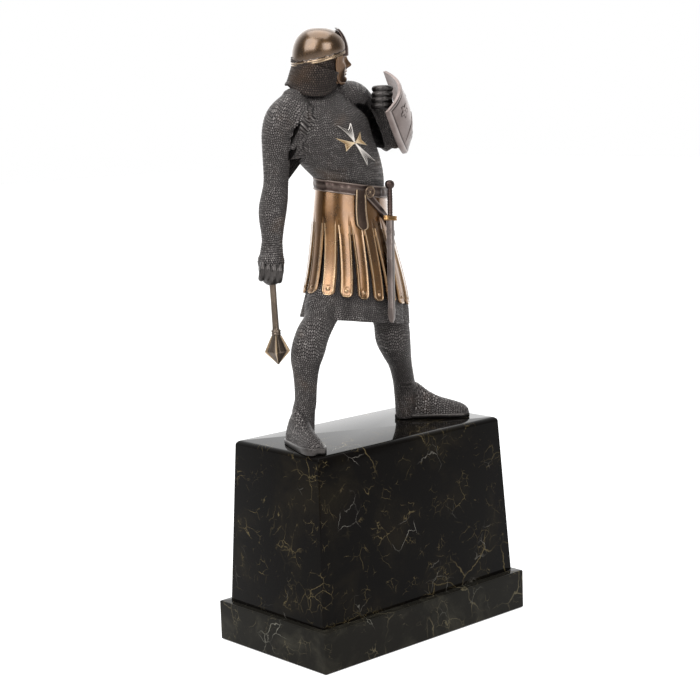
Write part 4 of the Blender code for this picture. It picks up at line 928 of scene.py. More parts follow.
# %% [markdown]
# ## The mail skirt
#
# Below the straps the mail flares and hangs in soft vertical waves. It is one grid: the angle
# round the waist by the level, so every ring of the pattern falls on the same cells of the grid.

# %% Skirt functions
SKIRT_ROWS = smooth_rows(SKIRT, 8)[::-1]
SKIRT_FOLDS = 9
SKIRT_FOLD_DEPTH = 2.1
THIGH_PUSH = (-3.1, 0.85, 0.115)


def skirt_row(level):
    """The skirt's section at some levels, with the seven columns on the last axis."""
    level = np.asarray(level, dtype=float)
    return np.stack([np.interp(level, SKIRT_ROWS[:, 2], SKIRT_ROWS[:, k]) for k in range(7)], axis=-1)


def thigh_swell(angle, level):
    """The right thigh widens the skirt: a bell round its direction that grows with depth cubed."""
    middle, spread, height = THIGH_PUSH
    share = np.clip((SKIRT[0][2] - level) / (SKIRT[0][2] - SKIRT[-1][2]), 0.0, 1.2)
    away = np.mod(angle - middle + math.pi, 2 * math.pi) - math.pi
    return height * share ** 3 * bell(away, spread)


def skirt_point(angle, level, proud, waves=0.0):
    """A point on the skirt at an angle and a level, standing proud of it by millimetres."""
    angle, level = np.broadcast_arrays(np.asarray(angle, float), np.asarray(level, float))
    share = np.clip((SKIRT[0][2] - level) / (SKIRT[0][2] - SKIRT[-1][2]), 0.0, 1.2)
    fold = np.sin(SKIRT_FOLDS * angle) + 0.4 * np.sin(2 * SKIRT_FOLDS * angle + 1.0)
    scale = 1.0 + thigh_swell(angle, level) + waves * SKIRT_FOLD_DEPTH / SKIRT[-1][3] * share ** 1.5 * fold
    return section(skirt_row(level), angle, scale, proud)


def grid_normals(grid):
    """Normals of a grid that closes round, from its two directions of travel."""
    across = np.roll(grid, -1, axis=1) - np.roll(grid, 1, axis=1)
    return unit(np.cross(np.gradient(grid, axis=0), across))


# %% The skirt's mail
SKIRT_RINGS = 152
SKIRT_MAIL_TOP, SKIRT_MAIL_LOW = 144.0, 85.0
# Painted shade under the straps: the crest is cut down there, which darkens the rings; levels, and the
# share of the crest kept there
SKIRT_STRAP_SHADE = ((96.0, 108.0), (1.0, 0.15))
# The hem is rolled inwards: levels and insets
SKIRT_HEM = ((84.5, -0.6), (84.6, -1.8), (85.6, -2.6), (94.0, -3.6))
skirt_columns = SKIRT_RINGS * 4
skirt_steps = 134
angle = turns(skirt_columns)[None, :]
level = np.linspace(SKIRT_MAIL_TOP, SKIRT_MAIL_LOW, skirt_steps)[:, None]
skin = skirt_point(angle, level, 0.0, 1.0)
outward = grid_normals(skin)
if np.mean(outward[:, 0, 0]) < 0:
    outward = -outward
mail_u = angle / (2 * math.pi) * SKIRT_RINGS * np.ones_like(level)
mail_u, mail_v = wander(skin, mail_u, level / RING_PITCH * np.ones_like(angle))
crest = mail_relief(mail_u, mail_v)
skin = skin + outward * ((crest - 0.5) * RING_RELIEF)[..., None]
# Painted shade: the crest is lowered near the straps, so the rings there render darker
crest = crest * np.interp(level, *SKIRT_STRAP_SHADE)
rolled = [skirt_point(turns(skirt_columns), low, inset, 1.0) for low, inset in SKIRT_HEM]
skirt_grid = np.concatenate([skin, np.stack(rolled)], axis=0)
flat = np.zeros((len(rolled), skirt_columns))
crest = np.concatenate([crest, flat + 0.3]).ravel()
mail = ring_place(np.concatenate([mail_u, flat]).ravel(), np.concatenate([mail_v, flat]).ravel())
make_piece("mail_skirt", tube_mesh(skirt_grid), MAIL, fan_ends(crest),
           np.vstack([mail, np.zeros((2, 3))]))

# %% [markdown]
# ## Legs and feet
#
# The chausses are mail too, and the foot melts into the shin. The sole is a smooth band round the
# foot, set a little wider, as a shoe's welt would be.

# %% Legs in mail
def foot_basis(ends):
    """The heel, the forward and sideways directions and the foot's length."""
    start = np.array([*ends[0], 0.0])
    run = np.array([*ends[1], 0.0]) - start
    length = np.linalg.norm(run)
    forward = run / length
    return start, forward, np.array([-forward[1], forward[0], 0.0]), length


def foot_rings(ends, steps=3, count=32):
    """Half-round sections from heel to toe: half width cos a across, height sin a up."""
    start, forward, side, length = foot_basis(ends)
    rows = smooth_rows(FOOT_SECTIONS, steps)
    stretch = length / FOOT_SECTIONS[-1][0]
    angle = turns(count)[None, :, None]
    middle = start + forward * rows[:, 0][:, None] * stretch
    return (middle[:, None, :] + side * np.cos(angle) * rows[:, 1][:, None, None]
            + np.array([0.0, 0.0, 1.0]) * np.sin(angle) * rows[:, 2][:, None, None])


# Rings over the foot, where the foot's rows take over from the shin's, and where the leg is cut
FOOT_RINGS = 20
FOOT_PROUD, ANKLE_LEVEL, LEG_FOOT = 0.6, 27.0, 0.4


def build_leg(name, table, ends, folds):
    """Melt one leg with its foot, flatten the underside and lay the rings."""
    points, quads = melt([tube_mesh(limb_rings(smooth_rows(table, 4))), tube_mesh(foot_rings(ends))],
                         MAIL_VOXEL, 27)
    quads = orient(points, quads)
    start, forward, side, _ = foot_basis(ends)
    leg_gap, leg_along, leg_angle = limb_place(points, table)
    local = points - start
    reach, sideways = local @ forward, local @ side
    foot_owns = (leg_gap > FOOT_PROUD) & (points[:, 2] < ANKLE_LEVEL)
    foot_angle = np.arctan2(points[:, 2], sideways)
    mail_u = np.where(foot_owns, foot_angle / math.pi * FOOT_RINGS,
                      round_limb(leg_angle, leg_along, table))
    mail_v = np.where(foot_owns, reach / RING_PITCH, leg_along / RING_PITCH)
    mail_u, mail_v = wander(points, mail_u, mail_v)
    crest = mail_relief(mail_u, mail_v)
    normals = vertex_normals(points, quads)
    points = points + normals * fold_lift(points, folds)[:, None]
    normals = vertex_normals(points, quads)
    points = points + normals * ((crest - 0.5) * RING_RELIEF)[:, None]
    quads = quads[points[quads][:, :, 2].max(axis=1) > LEG_FOOT]
    points[:, 2] = np.maximum(points[:, 2], LEG_FOOT)
    used, shape = closed_part(points, quads, flat_end=True)
    return make_piece(name, shape, MAIL, np.append(crest[used], 0.0),
                      np.vstack([ring_place(mail_u, mail_v)[used], [0.0, 0.0, 0.0]]))


RIGHT_LEG_FOLDS = (((-68.0, -17.0, 99.0), (-52.0, -19.0, 96.5), 1.6, -0.7),
                   ((-66.0, -18.0, 94.5), (-50.0, -20.0, 92.5), 1.8, 0.6),
                   ((-79.0, -8.0, 59.0), (-62.0, -16.0, 56.0), 2.2, 0.4),
                   ((-78.5, -3.0, 29.0), (-62.0, -12.0, 27.5), 1.5, 0.7),
                   ((-79.5, -4.0, 24.5), (-62.0, -13.5, 23.0), 1.4, 0.8))
LEFT_LEG_FOLDS = (((6.0, -17.0, 64.0), (28.0, -17.0, 57.0), 2.4, 0.4),
                  ((33.0, -2.0, 30.5), (48.0, -7.0, 29.0), 1.4, 0.8),
                  ((35.0, -1.0, 25.5), (54.0, -9.0, 25.0), 1.4, 0.9),
                  ((37.0, -1.0, 20.5), (60.0, -11.0, 21.0), 1.4, 0.7))
build_leg("mail_right_leg", RIGHT_LEG, RIGHT_FOOT, RIGHT_LEG_FOLDS)
build_leg("mail_left_leg", LEFT_LEG, LEFT_FOOT, LEFT_LEG_FOLDS)

# %% Soles
def build_sole(name, ends, heel_height, toe_height):
    """The welt: the foot's outline a little wider, upright, with a rounded upper edge."""
    start, forward, side, length = foot_basis(ends)
    rows = smooth_rows(FOOT_SECTIONS, 6)
    along = rows[:, 0] * length / FOOT_SECTIONS[-1][0]
    outline_along = np.concatenate([along, along[::-1]])
    outline_half = np.concatenate([rows[:, 1], -rows[::-1, 1]])
    tall = heel_height + (toe_height - heel_height) * outline_along / length
    rings = []
    # Foot or top of the welt, how far below it, how far out
    for share, drop, widen in ((0, 0.0, 0.4), (0, -0.3, 0.7), (1, 0.8, 0.7), (1, 0.25, 0.45),
                               (1, 0.0, 0.0), (1, 0.0, -0.7), (1, 0.6, -1.4), (1, 0.6, -3.0)):
        push = np.where(outline_along <= along[0], -widen,
                        np.where(outline_along >= along[-1], widen, 0.0))
        height = tall * share - drop
        rings.append(start + forward * (outline_along + push)[:, None]
                     + side * (outline_half + np.sign(outline_half) * widen)[:, None]
                     + np.array([0.0, 0.0, 1.0]) * height[:, None])
    return make_piece(name, tube_mesh(rings), HANDS, sharp=50)


build_sole("right_sole", RIGHT_FOOT, 3.6, 5.2)
build_sole("left_sole", LEFT_FOOT, 3.2, 3.2)

# %% [markdown]
# ## The sheath, the straps and the belt
#
# Over the mail hangs a polished leather sheath that ends in straps, each with a raised border, a
# round end and a rivet. A strap is a bent slab: its outer skin is the skirt's own function, standing
# proud by the strap's thickness plus the border's bead.

# %% Straps
BELT_LEVEL = 184.4
SHEATH_DROP = 34.0
STRAP_COUNT = 18
STRAP_LENGTH = 50.0
STRAP_TOP_HALF = 4.6
STRAP_END_HALF = 4.45
STRAP_THICK = 1.9
STRAP_RISE = 2.0
SHEATH_PROUD = 2.4
TRIM_LIFT = 0.7
# The raised border and the rivet above the round end
BEAD_HEIGHT, BEAD_INSET, BEAD_WIDTH = 0.55, 0.95, 0.42
RIVET_RISE, RIVET_DOME, RIVET_RADIUS = 5.2, 0.75, 1.15


def arc_factor(angle, level):
    """Angle taken by one millimetre round the waist at a place of the skirt."""
    row = skirt_row(level)
    return 1.0 / np.hypot(row[..., 3] * np.sin(angle), row[..., 4] * np.cos(angle))


def strap_angles():
    """Angles that share the skirt's round into equal lengths."""
    fine = np.linspace(0.0, 2 * math.pi, 721)
    row = skirt_row(BELT_LEVEL - SHEATH_DROP - STRAP_LENGTH / 2)
    run = np.hypot(row[3] * np.sin(fine), row[4] * np.cos(fine))
    length = np.concatenate([[0.0], np.cumsum((run[1:] + run[:-1]) / 2 * np.diff(fine))])
    return np.interp(np.arange(STRAP_COUNT) / STRAP_COUNT * length[-1], length, fine)


def strap_shape(angle):
    """A bent slab with a beaded border, a round end and a domed rivet with a ring."""
    top = BELT_LEVEL - SHEATH_DROP + 6.0
    low = BELT_LEVEL - SHEATH_DROP - STRAP_LENGTH - STRAP_RISE * math.cos(angle)
    body = np.linspace(top, low + STRAP_END_HALF, 46)
    rounding = low + STRAP_END_HALF * (1.0 - np.sin(np.linspace(0.0, math.pi / 2, 12)[1:] * 0.97))
    level = np.concatenate([body, rounding])[:, None]
    side = np.sin(np.linspace(-math.pi / 2, math.pi / 2, 23))[None, :]
    share = (level - low) / (top - low)
    over = np.clip((low + STRAP_END_HALF - level) / STRAP_END_HALF, 0.0, 1.0)
    half = STRAP_END_HALF + (STRAP_TOP_HALF - STRAP_END_HALF) * share
    reach = half * np.sqrt(1.0 - over ** 2)
    span = angle + side * reach * arc_factor(angle, level)
    edge = np.minimum(reach * (1 - np.abs(side)), (level - low) + 0 * side)
    bead = BEAD_HEIGHT * bell(edge - BEAD_INSET, BEAD_WIDTH)
    round_off = -0.5 * bell(edge, 0.35)
    crown = 0.25 * (1 - side ** 2)
    from_rivet = np.hypot(side * reach, level - (low + RIVET_RISE))
    rivet = (RIVET_DOME * np.sqrt(np.clip(1 - (from_rivet / RIVET_RADIUS) ** 2, 0.0, 1.0))
             - 0.35 * bell(from_rivet - 1.6, 0.35))
    proud = STRAP_THICK + TRIM_LIFT - 0.45 + bead + round_off + crown + rivet
    outer = skirt_point(span, level, proud)
    inner = skirt_point(span, level + 0 * side, TRIM_LIFT - 0.3)
    wear = np.clip(bead * 1.5 + np.clip(rivet, 0, 1), 0.0, 1.0)
    return slab_mesh(outer, inner), front_only(wear)


shapes, wears = zip(*[strap_shape(angle) for angle in strap_angles()])
make_piece("skirt_straps", merge_meshes(shapes), GOLDEN, np.concatenate(wears), sharp=60)

# %% The sheath above the straps
sheath_angle = turns(360)[None, :]
sheath_level = np.concatenate([np.linspace(BELT_LEVEL, BELT_LEVEL - SHEATH_DROP, 60),
                               BELT_LEVEL - SHEATH_DROP - np.array([0.3, 0.4])])[:, None]
strap_phase = np.interp(turns(360), np.append(strap_angles(), 2 * math.pi),
                        np.arange(STRAP_COUNT + 1))
between = np.abs(np.mod(strap_phase, 1.0) - 0.5)[None, :]
low_share = np.clip((BELT_LEVEL - 20.0 - sheath_level) / 14.0, 0.0, 1.0)
groove = -0.75 * low_share * bell(between, 0.07)
edge_roll = np.where(sheath_level < BELT_LEVEL - SHEATH_DROP, -0.6, 0.0)
sheath_skin = skirt_point(sheath_angle, sheath_level, SHEATH_PROUD + groove + edge_roll)
under = skirt_point(turns(360), BELT_LEVEL - SHEATH_DROP - 0.2, SHEATH_PROUD - 1.6)
make_piece("skirt_sheath", tube_mesh(np.concatenate([sheath_skin, under[None]])), GOLDEN, sharp=60)

# %% The belt
BELT_HALF = 4.3
# Across the belt from its lower to its upper edge, and how far it stands out
belt_profile = np.array([
    (-1.00, 0.4), (-1.02, 1.3), (-0.94, 1.75), (-0.80, 1.7), (-0.66, 1.3), (-0.3, 1.45), (0.0, 1.55),
    (0.3, 1.45), (0.66, 1.3), (0.80, 1.7), (0.94, 1.75), (1.02, 1.3), (1.0, 0.4)])
belt_curve = smooth_rows(belt_profile, 4)
belt_angle = turns(300)[None, :]
belt_level = BELT_LEVEL + belt_curve[:, 0][:, None] * BELT_HALF
belt_row = np.repeat(skirt_row(BELT_LEVEL)[None, :], len(belt_curve), axis=0)
belt_row[:, 2] = belt_level[:, 0]
wrinkle = (0.18 * np.sin(23 * belt_angle + 2.0 * np.sin(5 * belt_angle))
           * bell(belt_curve[:, :1], 0.5))
belt_skin = section(belt_row[:, None, :], belt_angle, 1.0,
                    SHEATH_PROUD + belt_curve[:, 1][:, None] + wrinkle)
belt_wear = np.clip((belt_curve[:, 1] - 1.4) * 2.0, 0, 1)[:, None] * np.ones_like(belt_angle)
make_piece("belt", tube_mesh(belt_skin), LEATHER, fan_ends(belt_wear.ravel()), sharp=70)

# %% Buckle, tongue and sword strap
def band_shape(angles, levels, halves, proud, root, crosswise=13, bead=0.35):
    """A strip along (angle, level) places on the skirt, with a raised border line."""
    angles, levels, halves = (np.asarray(part, dtype=float) for part in (angles, levels, halves))
    per_mm = arc_factor(angles, levels)
    run = unit(np.column_stack([np.gradient(angles) / per_mm, np.gradient(levels)]))
    side = np.linspace(-1.0, 1.0, crosswise)[None, :]
    offset = side * halves[:, None]
    angle = angles[:, None] - per_mm[:, None] * run[:, 1:2] * offset
    level = levels[:, None] + run[:, 0:1] * offset
    edge = halves[:, None] * (1 - np.abs(side))
    lift = bead * bell(edge - 0.8, 0.4) - 0.4 * bell(edge, 0.3)
    outer = skirt_point(angle, level, proud + lift)
    inner = skirt_point(angle, level, root)
    wear = np.clip(lift / bead, 0.0, 1.0)
    return slab_mesh(outer, inner), front_only(wear)


BAND_PROUD, BAND_ROOT = SHEATH_PROUD + 1.9, SHEATH_PROUD - 0.8
TONGUE_ANGLE, TONGUE_HALF, TONGUE_LENGTH = math.radians(-108.0), 4.9, 30.0
tongue_low = BELT_LEVEL - TONGUE_LENGTH
tongue_level = np.concatenate([
    np.linspace(BELT_LEVEL, tongue_low + TONGUE_HALF, 24),
    tongue_low + TONGUE_HALF * (1 - np.sin(np.linspace(0.12, 1.5, 12)))])
tongue_over = np.clip((tongue_low + TONGUE_HALF - tongue_level) / TONGUE_HALF, 0.0, 1.0)
tongue_half = (TONGUE_HALF * np.sqrt(1 - tongue_over ** 2 * 0.995)
               * np.interp(tongue_level, [tongue_low, BELT_LEVEL - 8, BELT_LEVEL], [1.0, 0.86, 0.8]))
tongue, tongue_wear = band_shape(np.full(len(tongue_level), TONGUE_ANGLE), tongue_level, tongue_half,
                                 BAND_PROUD, BAND_ROOT, 21)
make_piece("belt_tongue", tongue, TONGUE_FINISH, tongue_wear, sharp=60)
# The sword strap's run: degrees round the waist and level
HANGER = np.array([(-96.0, 181.0), (-84.0, 175.5), (-72.0, 170.5), (-60.0, 165.5),
                   (-52.0, 159.0), (-47.0, 152.0)])
hanger_path = smooth_rows(HANGER, 6)
hanger, hanger_wear = band_shape(np.radians(hanger_path[:, 0]), hanger_path[:, 1],
                                 np.linspace(2.9, 2.3, len(hanger_path)), BAND_PROUD, BAND_ROOT)
make_piece("sword_hanger", hanger, LEATHER, hanger_wear, sharp=60)


def rosette_shape(centre, out, radius, depth, petals):
    """A round boss: height falls from the middle in a dome, cut by petals and ringed by a bead."""
    out = unit(np.array(out))
    across = unit(np.cross(out, (0.0, 0.0, 1.0)))
    upward = np.cross(across, out)
    reach = np.concatenate([np.linspace(1.0, 0.06, 26), [0.0]])[:, None]
    angle = turns(72)[None, :]
    petal = 0.22 * np.cos(petals * angle) * bell(reach - 0.5, 0.2)
    rim = 0.35 * bell(reach - 0.85, 0.1)
    boss = 0.6 * bell(reach, 0.2)
    height = depth * (0.55 + petal + rim + boss) * np.where(reach > 0.99, 0.3, 1.0)
    spoke = across * np.cos(angle)[..., None] + upward * np.sin(angle)[..., None]
    face = np.array(centre) + (out * height[..., None]) + radius * reach[..., None] * spoke
    back = np.array(centre) - out * 2.4 + radius * spoke[0]
    rings = np.concatenate([back[None], face], axis=0)
    wear = np.clip(height / depth - 0.6, 0.0, 1.0).ravel()
    return tube_mesh(rings), np.concatenate([np.zeros(72), wear, [0.0, 1.0]])


BUCKLE_ANGLE = math.radians(-95.0)
buckle_seat = skirt_point(BUCKLE_ANGLE, BELT_LEVEL - 0.6, SHEATH_PROUD + 2.0)
buckle_out = (skirt_point(BUCKLE_ANGLE, BELT_LEVEL, 10.0)
              - skirt_point(BUCKLE_ANGLE, BELT_LEVEL, 0.0))
buckle, buckle_wear = rosette_shape(buckle_seat, buckle_out, 4.6, 1.3, 8)
make_piece("belt_buckle", buckle, TONGUE_FINISH, buckle_wear, sharp=60)

# %% [markdown]
# ## The head
#
# The head is turned towards the shield, so everything on it lives in its own frame: forward, to
# the figure's left, and up. The face is a plain calm one of even proportions, made of a rounded
# oval and a dozen soft bell-shaped rises and hollows, and the hood of mail closes round it.

# %% Head frame
HEAD_CENTRE = (-39.8, -1.8, 282.0)
HEAD_TURN, HEAD_TILT = 57.0, -8.0
HEAD_MATRIX = np.array(Matrix.Rotation(math.radians(HEAD_TURN - 90.0), 3, "Z")
                       @ Matrix.Rotation(math.radians(-HEAD_TILT), 3, "X"))
COIF_CENTRE, COIF_RADII = (-2.5, 0.0, -4.0), (18.3, 16.4, 19.5)
HELMET_CENTRE, HELMET_RADII = (0.0, 0.0, 1.2), (20.3, 17.6, 19.2)
HELMET_FULLNESS, HELMET_RIM, HELMET_SLOPE = 2.25, -3.8, 0.24


def from_head(points):
    """Head frame to figure millimetres."""
    return np.asarray(points, dtype=float) @ HEAD_MATRIX.T + np.array(HEAD_CENTRE)


# %% The hood of mail
HOOD_NECK = ((-45.5, 4.5, 250.0, 19.2), (-45.0, 4.0, 255.0, 18.8), (-44.0, 3.0, 261.0, 18.0),
             (-43.0, 1.0, 268.0, 17.6), (-41.0, -1.5, 276.0, 17.6))
# The hem lies low in front and climbs towards the back; it ends in a soft roll
HOOD_LOW, HOOD_RISE, HOOD_CLIMB, HOOD_FRONT = 252.5, 8.5, 12.0, (-0.39, -0.92)
HOOD_ROLL, ROLL_LEVEL, ROLL_WIDTH = 0.7, 1.4, 1.3
HOOD_RADIUS, HOOD_PITCH, HOOD_RELIEF = 17.0, 1.6, 0.28
coif = [ball_mesh(from_head(COIF_CENTRE), COIF_RADII, HEAD_MATRIX),
        ball_mesh(from_head((4.5, 0.0, -13.0)), (10.0, 10.2, 8.0), HEAD_MATRIX),
        tube_mesh(limb_rings(smooth_rows(HOOD_NECK, 4)))]
points, quads = melt(coif, 0.38, 36)
quads = orient(points, quads)
from_neck = points[:, :2] - np.array(HOOD_NECK[1][:2])
around_front = unit(from_neck) @ np.array(HOOD_FRONT)
hem = HOOD_LOW + np.minimum(HOOD_CLIMB * (1.0 - around_front), HOOD_RISE)
mail_u = np.arctan2(from_neck[:, 1], from_neck[:, 0]) * HOOD_RADIUS / HOOD_PITCH
mail_v = (points[:, 2] - 0.6 * (hem - HOOD_LOW)) / HOOD_PITCH
crest = mail_relief(mail_u, mail_v)
normals = vertex_normals(points, quads)
roll = HOOD_ROLL * bell(points[:, 2] - hem - ROLL_LEVEL, ROLL_WIDTH)
points = points + normals * ((crest - 0.5) * HOOD_RELIEF + roll)[:, None]
points[:, 2] = np.maximum(points[:, 2], hem)
# The hood wears the darkened mail finish, which is painted shade
make_piece("mail_coif", (points, quads, NO_TRIANGLES), SHADED_COIF_MAIL, crest, ring_place(mail_u, mail_v))

# %% The face
FACE_WIDTH, FACE_TOP, FACE_CHIN, FACE_DEPTH = 12.2, 8.0, -20.0, 19.0
# Height, place across and up, size across and up
FACE_FORMS = (
    (3.6, 0.0, 0.44, 0.13, 0.085), (2.2, 0.0, 0.56, 0.11, 0.14), (0.8, 0.17, 0.42, 0.10, 0.045),
    (-2.0, 0.36, 0.60, 0.19, 0.075), (1.0, 0.37, 0.595, 0.13, 0.045), (1.0, 0.33, 0.70, 0.30, 0.045),
    (0.9, 0.52, 0.44, 0.20, 0.10), (1.3, 0.0, 0.285, 0.26, 0.040), (1.1, 0.0, 0.215, 0.20, 0.036),
    (-0.7, 0.0, 0.250, 0.24, 0.014), (1.7, 0.0, 0.075, 0.24, 0.085),
)
# Finer forms: lid lines, nostrils, the groove above the lip and the crease below it
FACE_DETAILS = (
    (0.35, 0.37, 0.625, 0.12, 0.012), (0.30, 0.37, 0.568, 0.11, 0.010), (-0.35, 0.37, 0.645, 0.13, 0.010),
    (-0.6, 0.10, 0.395, 0.035, 0.015), (-0.3, 0.0, 0.335, 0.04, 0.03), (-0.4, 0.0, 0.165, 0.18, 0.02),
    (0.35, 0.30, 0.735, 0.20, 0.015), (-0.25, 0.22, 0.25, 0.03, 0.012),
)


def face_depth(across, up):
    """How far forward the face stands: a rounded oval plus bell-shaped rises and hollows."""
    side = np.abs(across)
    depth = FACE_DEPTH * np.sqrt(np.clip(1.0 - 0.62 * side ** 2.2, 0.0, 1.0))
    depth = depth - 4.2 * np.clip(0.34 - up, 0.0, 1.0) ** 1.2 * (0.4 + side)
    for height, at_side, at_up, wide, tall in FACE_FORMS + FACE_DETAILS:
        depth = depth + height * np.exp(-((side - at_side) / wide) ** 2 - ((up - at_up) / tall) ** 2)
    return depth


def face_narrow(up):
    """The face's width at a height, as a share: full at the top, narrow at the chin."""
    return np.sqrt(1.0 - (0.58 * (1.0 - up)) ** 2.2) * (1.0 - 0.32 * (1 - up) ** 3)


up = np.linspace(0.0, 1.0, 181)[:, None] * np.ones(141)
across = np.ones(181)[:, None] * np.linspace(-1.0, 1.0, 141)
face_left = across * FACE_WIDTH * face_narrow(up)
face_up = FACE_CHIN + (FACE_TOP - FACE_CHIN) * up
front = from_head(np.stack([face_depth(across, up), face_left, face_up], axis=-1))
back = from_head(np.stack([np.zeros_like(face_left), face_left * 0.9,
                           np.maximum(face_up, -12.0)], axis=-1))
make_piece("face", slab_mesh(front, back), SKIN, sharp=70)

# %% The hood's rolled edge round the face
EDGE_STEPS, EDGE_SIDES = 200, 14
edge_turn = turns(EDGE_STEPS)
edge_up = 0.5 + 0.5 * np.cos(edge_turn)
edge_side = np.sign(np.sin(edge_turn)) * np.abs(np.sin(edge_turn)) ** 0.35
edge_path = np.stack([face_depth(edge_side, edge_up) - 0.9,
                      edge_side * FACE_WIDTH * face_narrow(edge_up) * 1.03,
                      FACE_CHIN - 0.4 + (FACE_TOP - FACE_CHIN) * edge_up], axis=1)
ahead = unit(np.roll(edge_path, -1, axis=0) - np.roll(edge_path, 1, axis=0))
outward = unit(edge_path - np.array([4.0, 0.0, -6.0]))
outward = unit(outward - ahead * np.sum(outward * ahead, axis=1)[:, None])
lift = np.cross(ahead, outward)
spin = turns(EDGE_SIDES)[None, :, None]
cord = 1.05 + 0.16 * np.sin(70 * edge_turn)[:, None, None]
edge_rings = edge_path[:, None, :] + cord * (
    np.cos(spin) * outward[:, None, :] + np.sin(spin) * lift[:, None, :])
first = np.arange(EDGE_SIDES)
after, last = (first + 1) % EDGE_SIDES, (EDGE_STEPS - 1) * EDGE_SIDES
loop = np.concatenate([grid_quads(EDGE_STEPS, EDGE_SIDES, True),
                       np.stack([last + first, last + after, after, first], axis=1)])
make_piece("coif_edge", (from_head(edge_rings.reshape(-1, 3)), loop, NO_TRIANGLES), SKIN)

# %% [markdown]
# ## The cap and its brow plate
#
# The cap is a polished dome, a superellipse turned about the head's own axis. Its rim carries two
# fine raised lines and a row of small scallops, and a dark plate stands up over the brow.

# %% Cap
CAP_COLUMNS, SCALLOPS = 320, 11
angle = turns(CAP_COLUMNS)[None, :]
share = np.linspace(0.0, 1.0, 120)[:, None]
cap_level = HELMET_RIM + (HELMET_RADII[2] * 0.9995 - HELMET_RIM) * np.sin(share * math.pi / 2)
round_off = np.clip(1.0 - np.abs(cap_level / HELMET_RADII[2]) ** HELMET_FULLNESS, 1e-6, 1.0)
reach = round_off ** (1.0 / HELMET_FULLNESS)
above = cap_level - HELMET_RIM
scallop = 4.0 - 0.8 * np.abs(np.sin(SCALLOPS * angle))
hollow = bell(above - scallop, 0.34)
first_line, second_line = bell(above - 0.8, 0.36), bell(above - 2.1, 0.30)
band = (0.42 * first_line + 0.32 * second_line
        + 0.20 / (1.0 + np.exp((above - scallop) / 0.12)) - 0.25 * hollow)
forward = (HELMET_RADII[0] * reach + band) * np.cos(angle)
left = (HELMET_RADII[1] * reach + band) * np.sin(angle)
fade = 1.0 - np.clip(above, 0.0, None) / (HELMET_RADII[2] - HELMET_RIM)
height = cap_level + HELMET_SLOPE * forward * fade
dome = np.stack([forward, left, height + 0 * forward], axis=-1) + np.array(HELMET_CENTRE)
lip_in = ((dome[0] - np.array(HELMET_CENTRE)) * np.array([0.92, 0.92, 1.0])
          + np.array(HELMET_CENTRE))
rings = np.concatenate([lip_in[None] + np.array([0.0, 0.0, 1.5]), lip_in[None], dome], axis=0)
rubbed = first_line + 0.8 * second_line - hollow
wear = np.concatenate([np.zeros((2, CAP_COLUMNS)), rubbed + 0 * angle]).ravel()
make_piece("helmet_cap", tube_mesh(from_head(rings)), CAP_FINISH, fan_ends(wear), sharp=65)

# %% Brow plate
BROW = {"foot": -2.0, "top": 17.0, "half": 8.0, "before": 1.7, "behind": 0.8, "raised": 2.0}
rise = np.linspace(BROW["foot"], BROW["top"], 40)[:, None]
side = np.sin(np.linspace(-math.pi / 2, math.pi / 2, 31))[None, :]
outer_radius = HELMET_RADII[2] + BROW["before"] + BROW["raised"]
lift = np.sqrt(1.0 - (rise / outer_radius) ** 2)
left = BROW["half"] * lift * side
bend = np.sqrt(1.0 - (left / HELMET_RADII[1]) ** 2)
edge = BROW["half"] * lift * (1 - np.abs(side))
bead = 0.5 * bell(edge - 0.9, 0.5) - 0.5 * bell(edge, 0.3)
skins = []
for reach in (BROW["before"] + bead - 0.3, -BROW["behind"] + 0 * bead):
    forward = (HELMET_RADII[0] + reach) * lift * bend
    skins.append(from_head(np.stack([forward, left, rise + 0 * left + BROW["raised"]], axis=-1)))
make_piece("brow_plate", slab_mesh(*skins), LEATHER, front_only(np.clip(bead, 0, 1) * 2), sharp=60)

# %% [markdown]
# ## Hands
#
# Each hand is a closed fist: a rounded palm and four bent fingers, melted finely so that the
# fingers stay apart but their roots flow together. A mitten of mail with a small scalloped edge
# covers the back of the right hand.

# %% Fists
def finger_rows(centre, reach, stack, curl, out, count=4, radius=2.4, pitch=1.75, bend=1.15):
    """Bent fingers side by side: arcs of a circle in the plane of out and curl."""
    stack, curl, out = unit(stack), unit(curl), unit(out)
    angle = np.linspace(-bend, bend, 9)[:, None]
    fingers = []
    for index in range(count):
        offset = (index - (count - 1) / 2) * radius * pitch
        path = (np.array(centre) + stack * offset + out * reach * np.cos(angle)
                + curl * reach * np.sin(angle))
        fingers.append((np.column_stack([path, np.full(len(path), radius)]), stack))
    return fingers


def build_fist(name, palm, radii, fingers, wrist):
    """Palm, fingers and wrist melted into one hand."""
    parts = [ball_mesh(palm, radii)]
    parts += [tube_mesh(limb_rings(rows, 16, hint)) for rows, hint in fingers]
    parts.append(tube_mesh(limb_rings(np.array(wrist))))
    points, quads = melt(parts, 0.3, 3)
    return make_piece(name, (points, orient(points, quads), NO_TRIANGLES), HANDS)


build_fist("right_fist", (-92.0, -1.0, 132.0), (9.4, 9.0, 12.5),
           finger_rows((-93.3, -2.2, 130.0), 6.4, (0.75, -0.60, -0.15), (0.0, 0.25, -1.0),
                       (-0.62, -0.78, 0.0)),
           ((-88.6, 1.0, 148.0, 6.6), (-90.0, 0.2, 141.0, 6.8), (-91.0, -0.5, 136.0, 7.0)))

# %% The mail mitten
MITTEN_CENTRE, MITTEN_RADII, MITTEN_ROUND = (-91.8, -0.9, 137.0), (10.0, 9.5, 9.5), 9.0
MITTEN_WRIST = ((-88.2, 1.3, 151.0, 7.5), (-89.2, 0.8, 146.0, 8.0), (-90.5, 0.0, 140.0, 8.8))
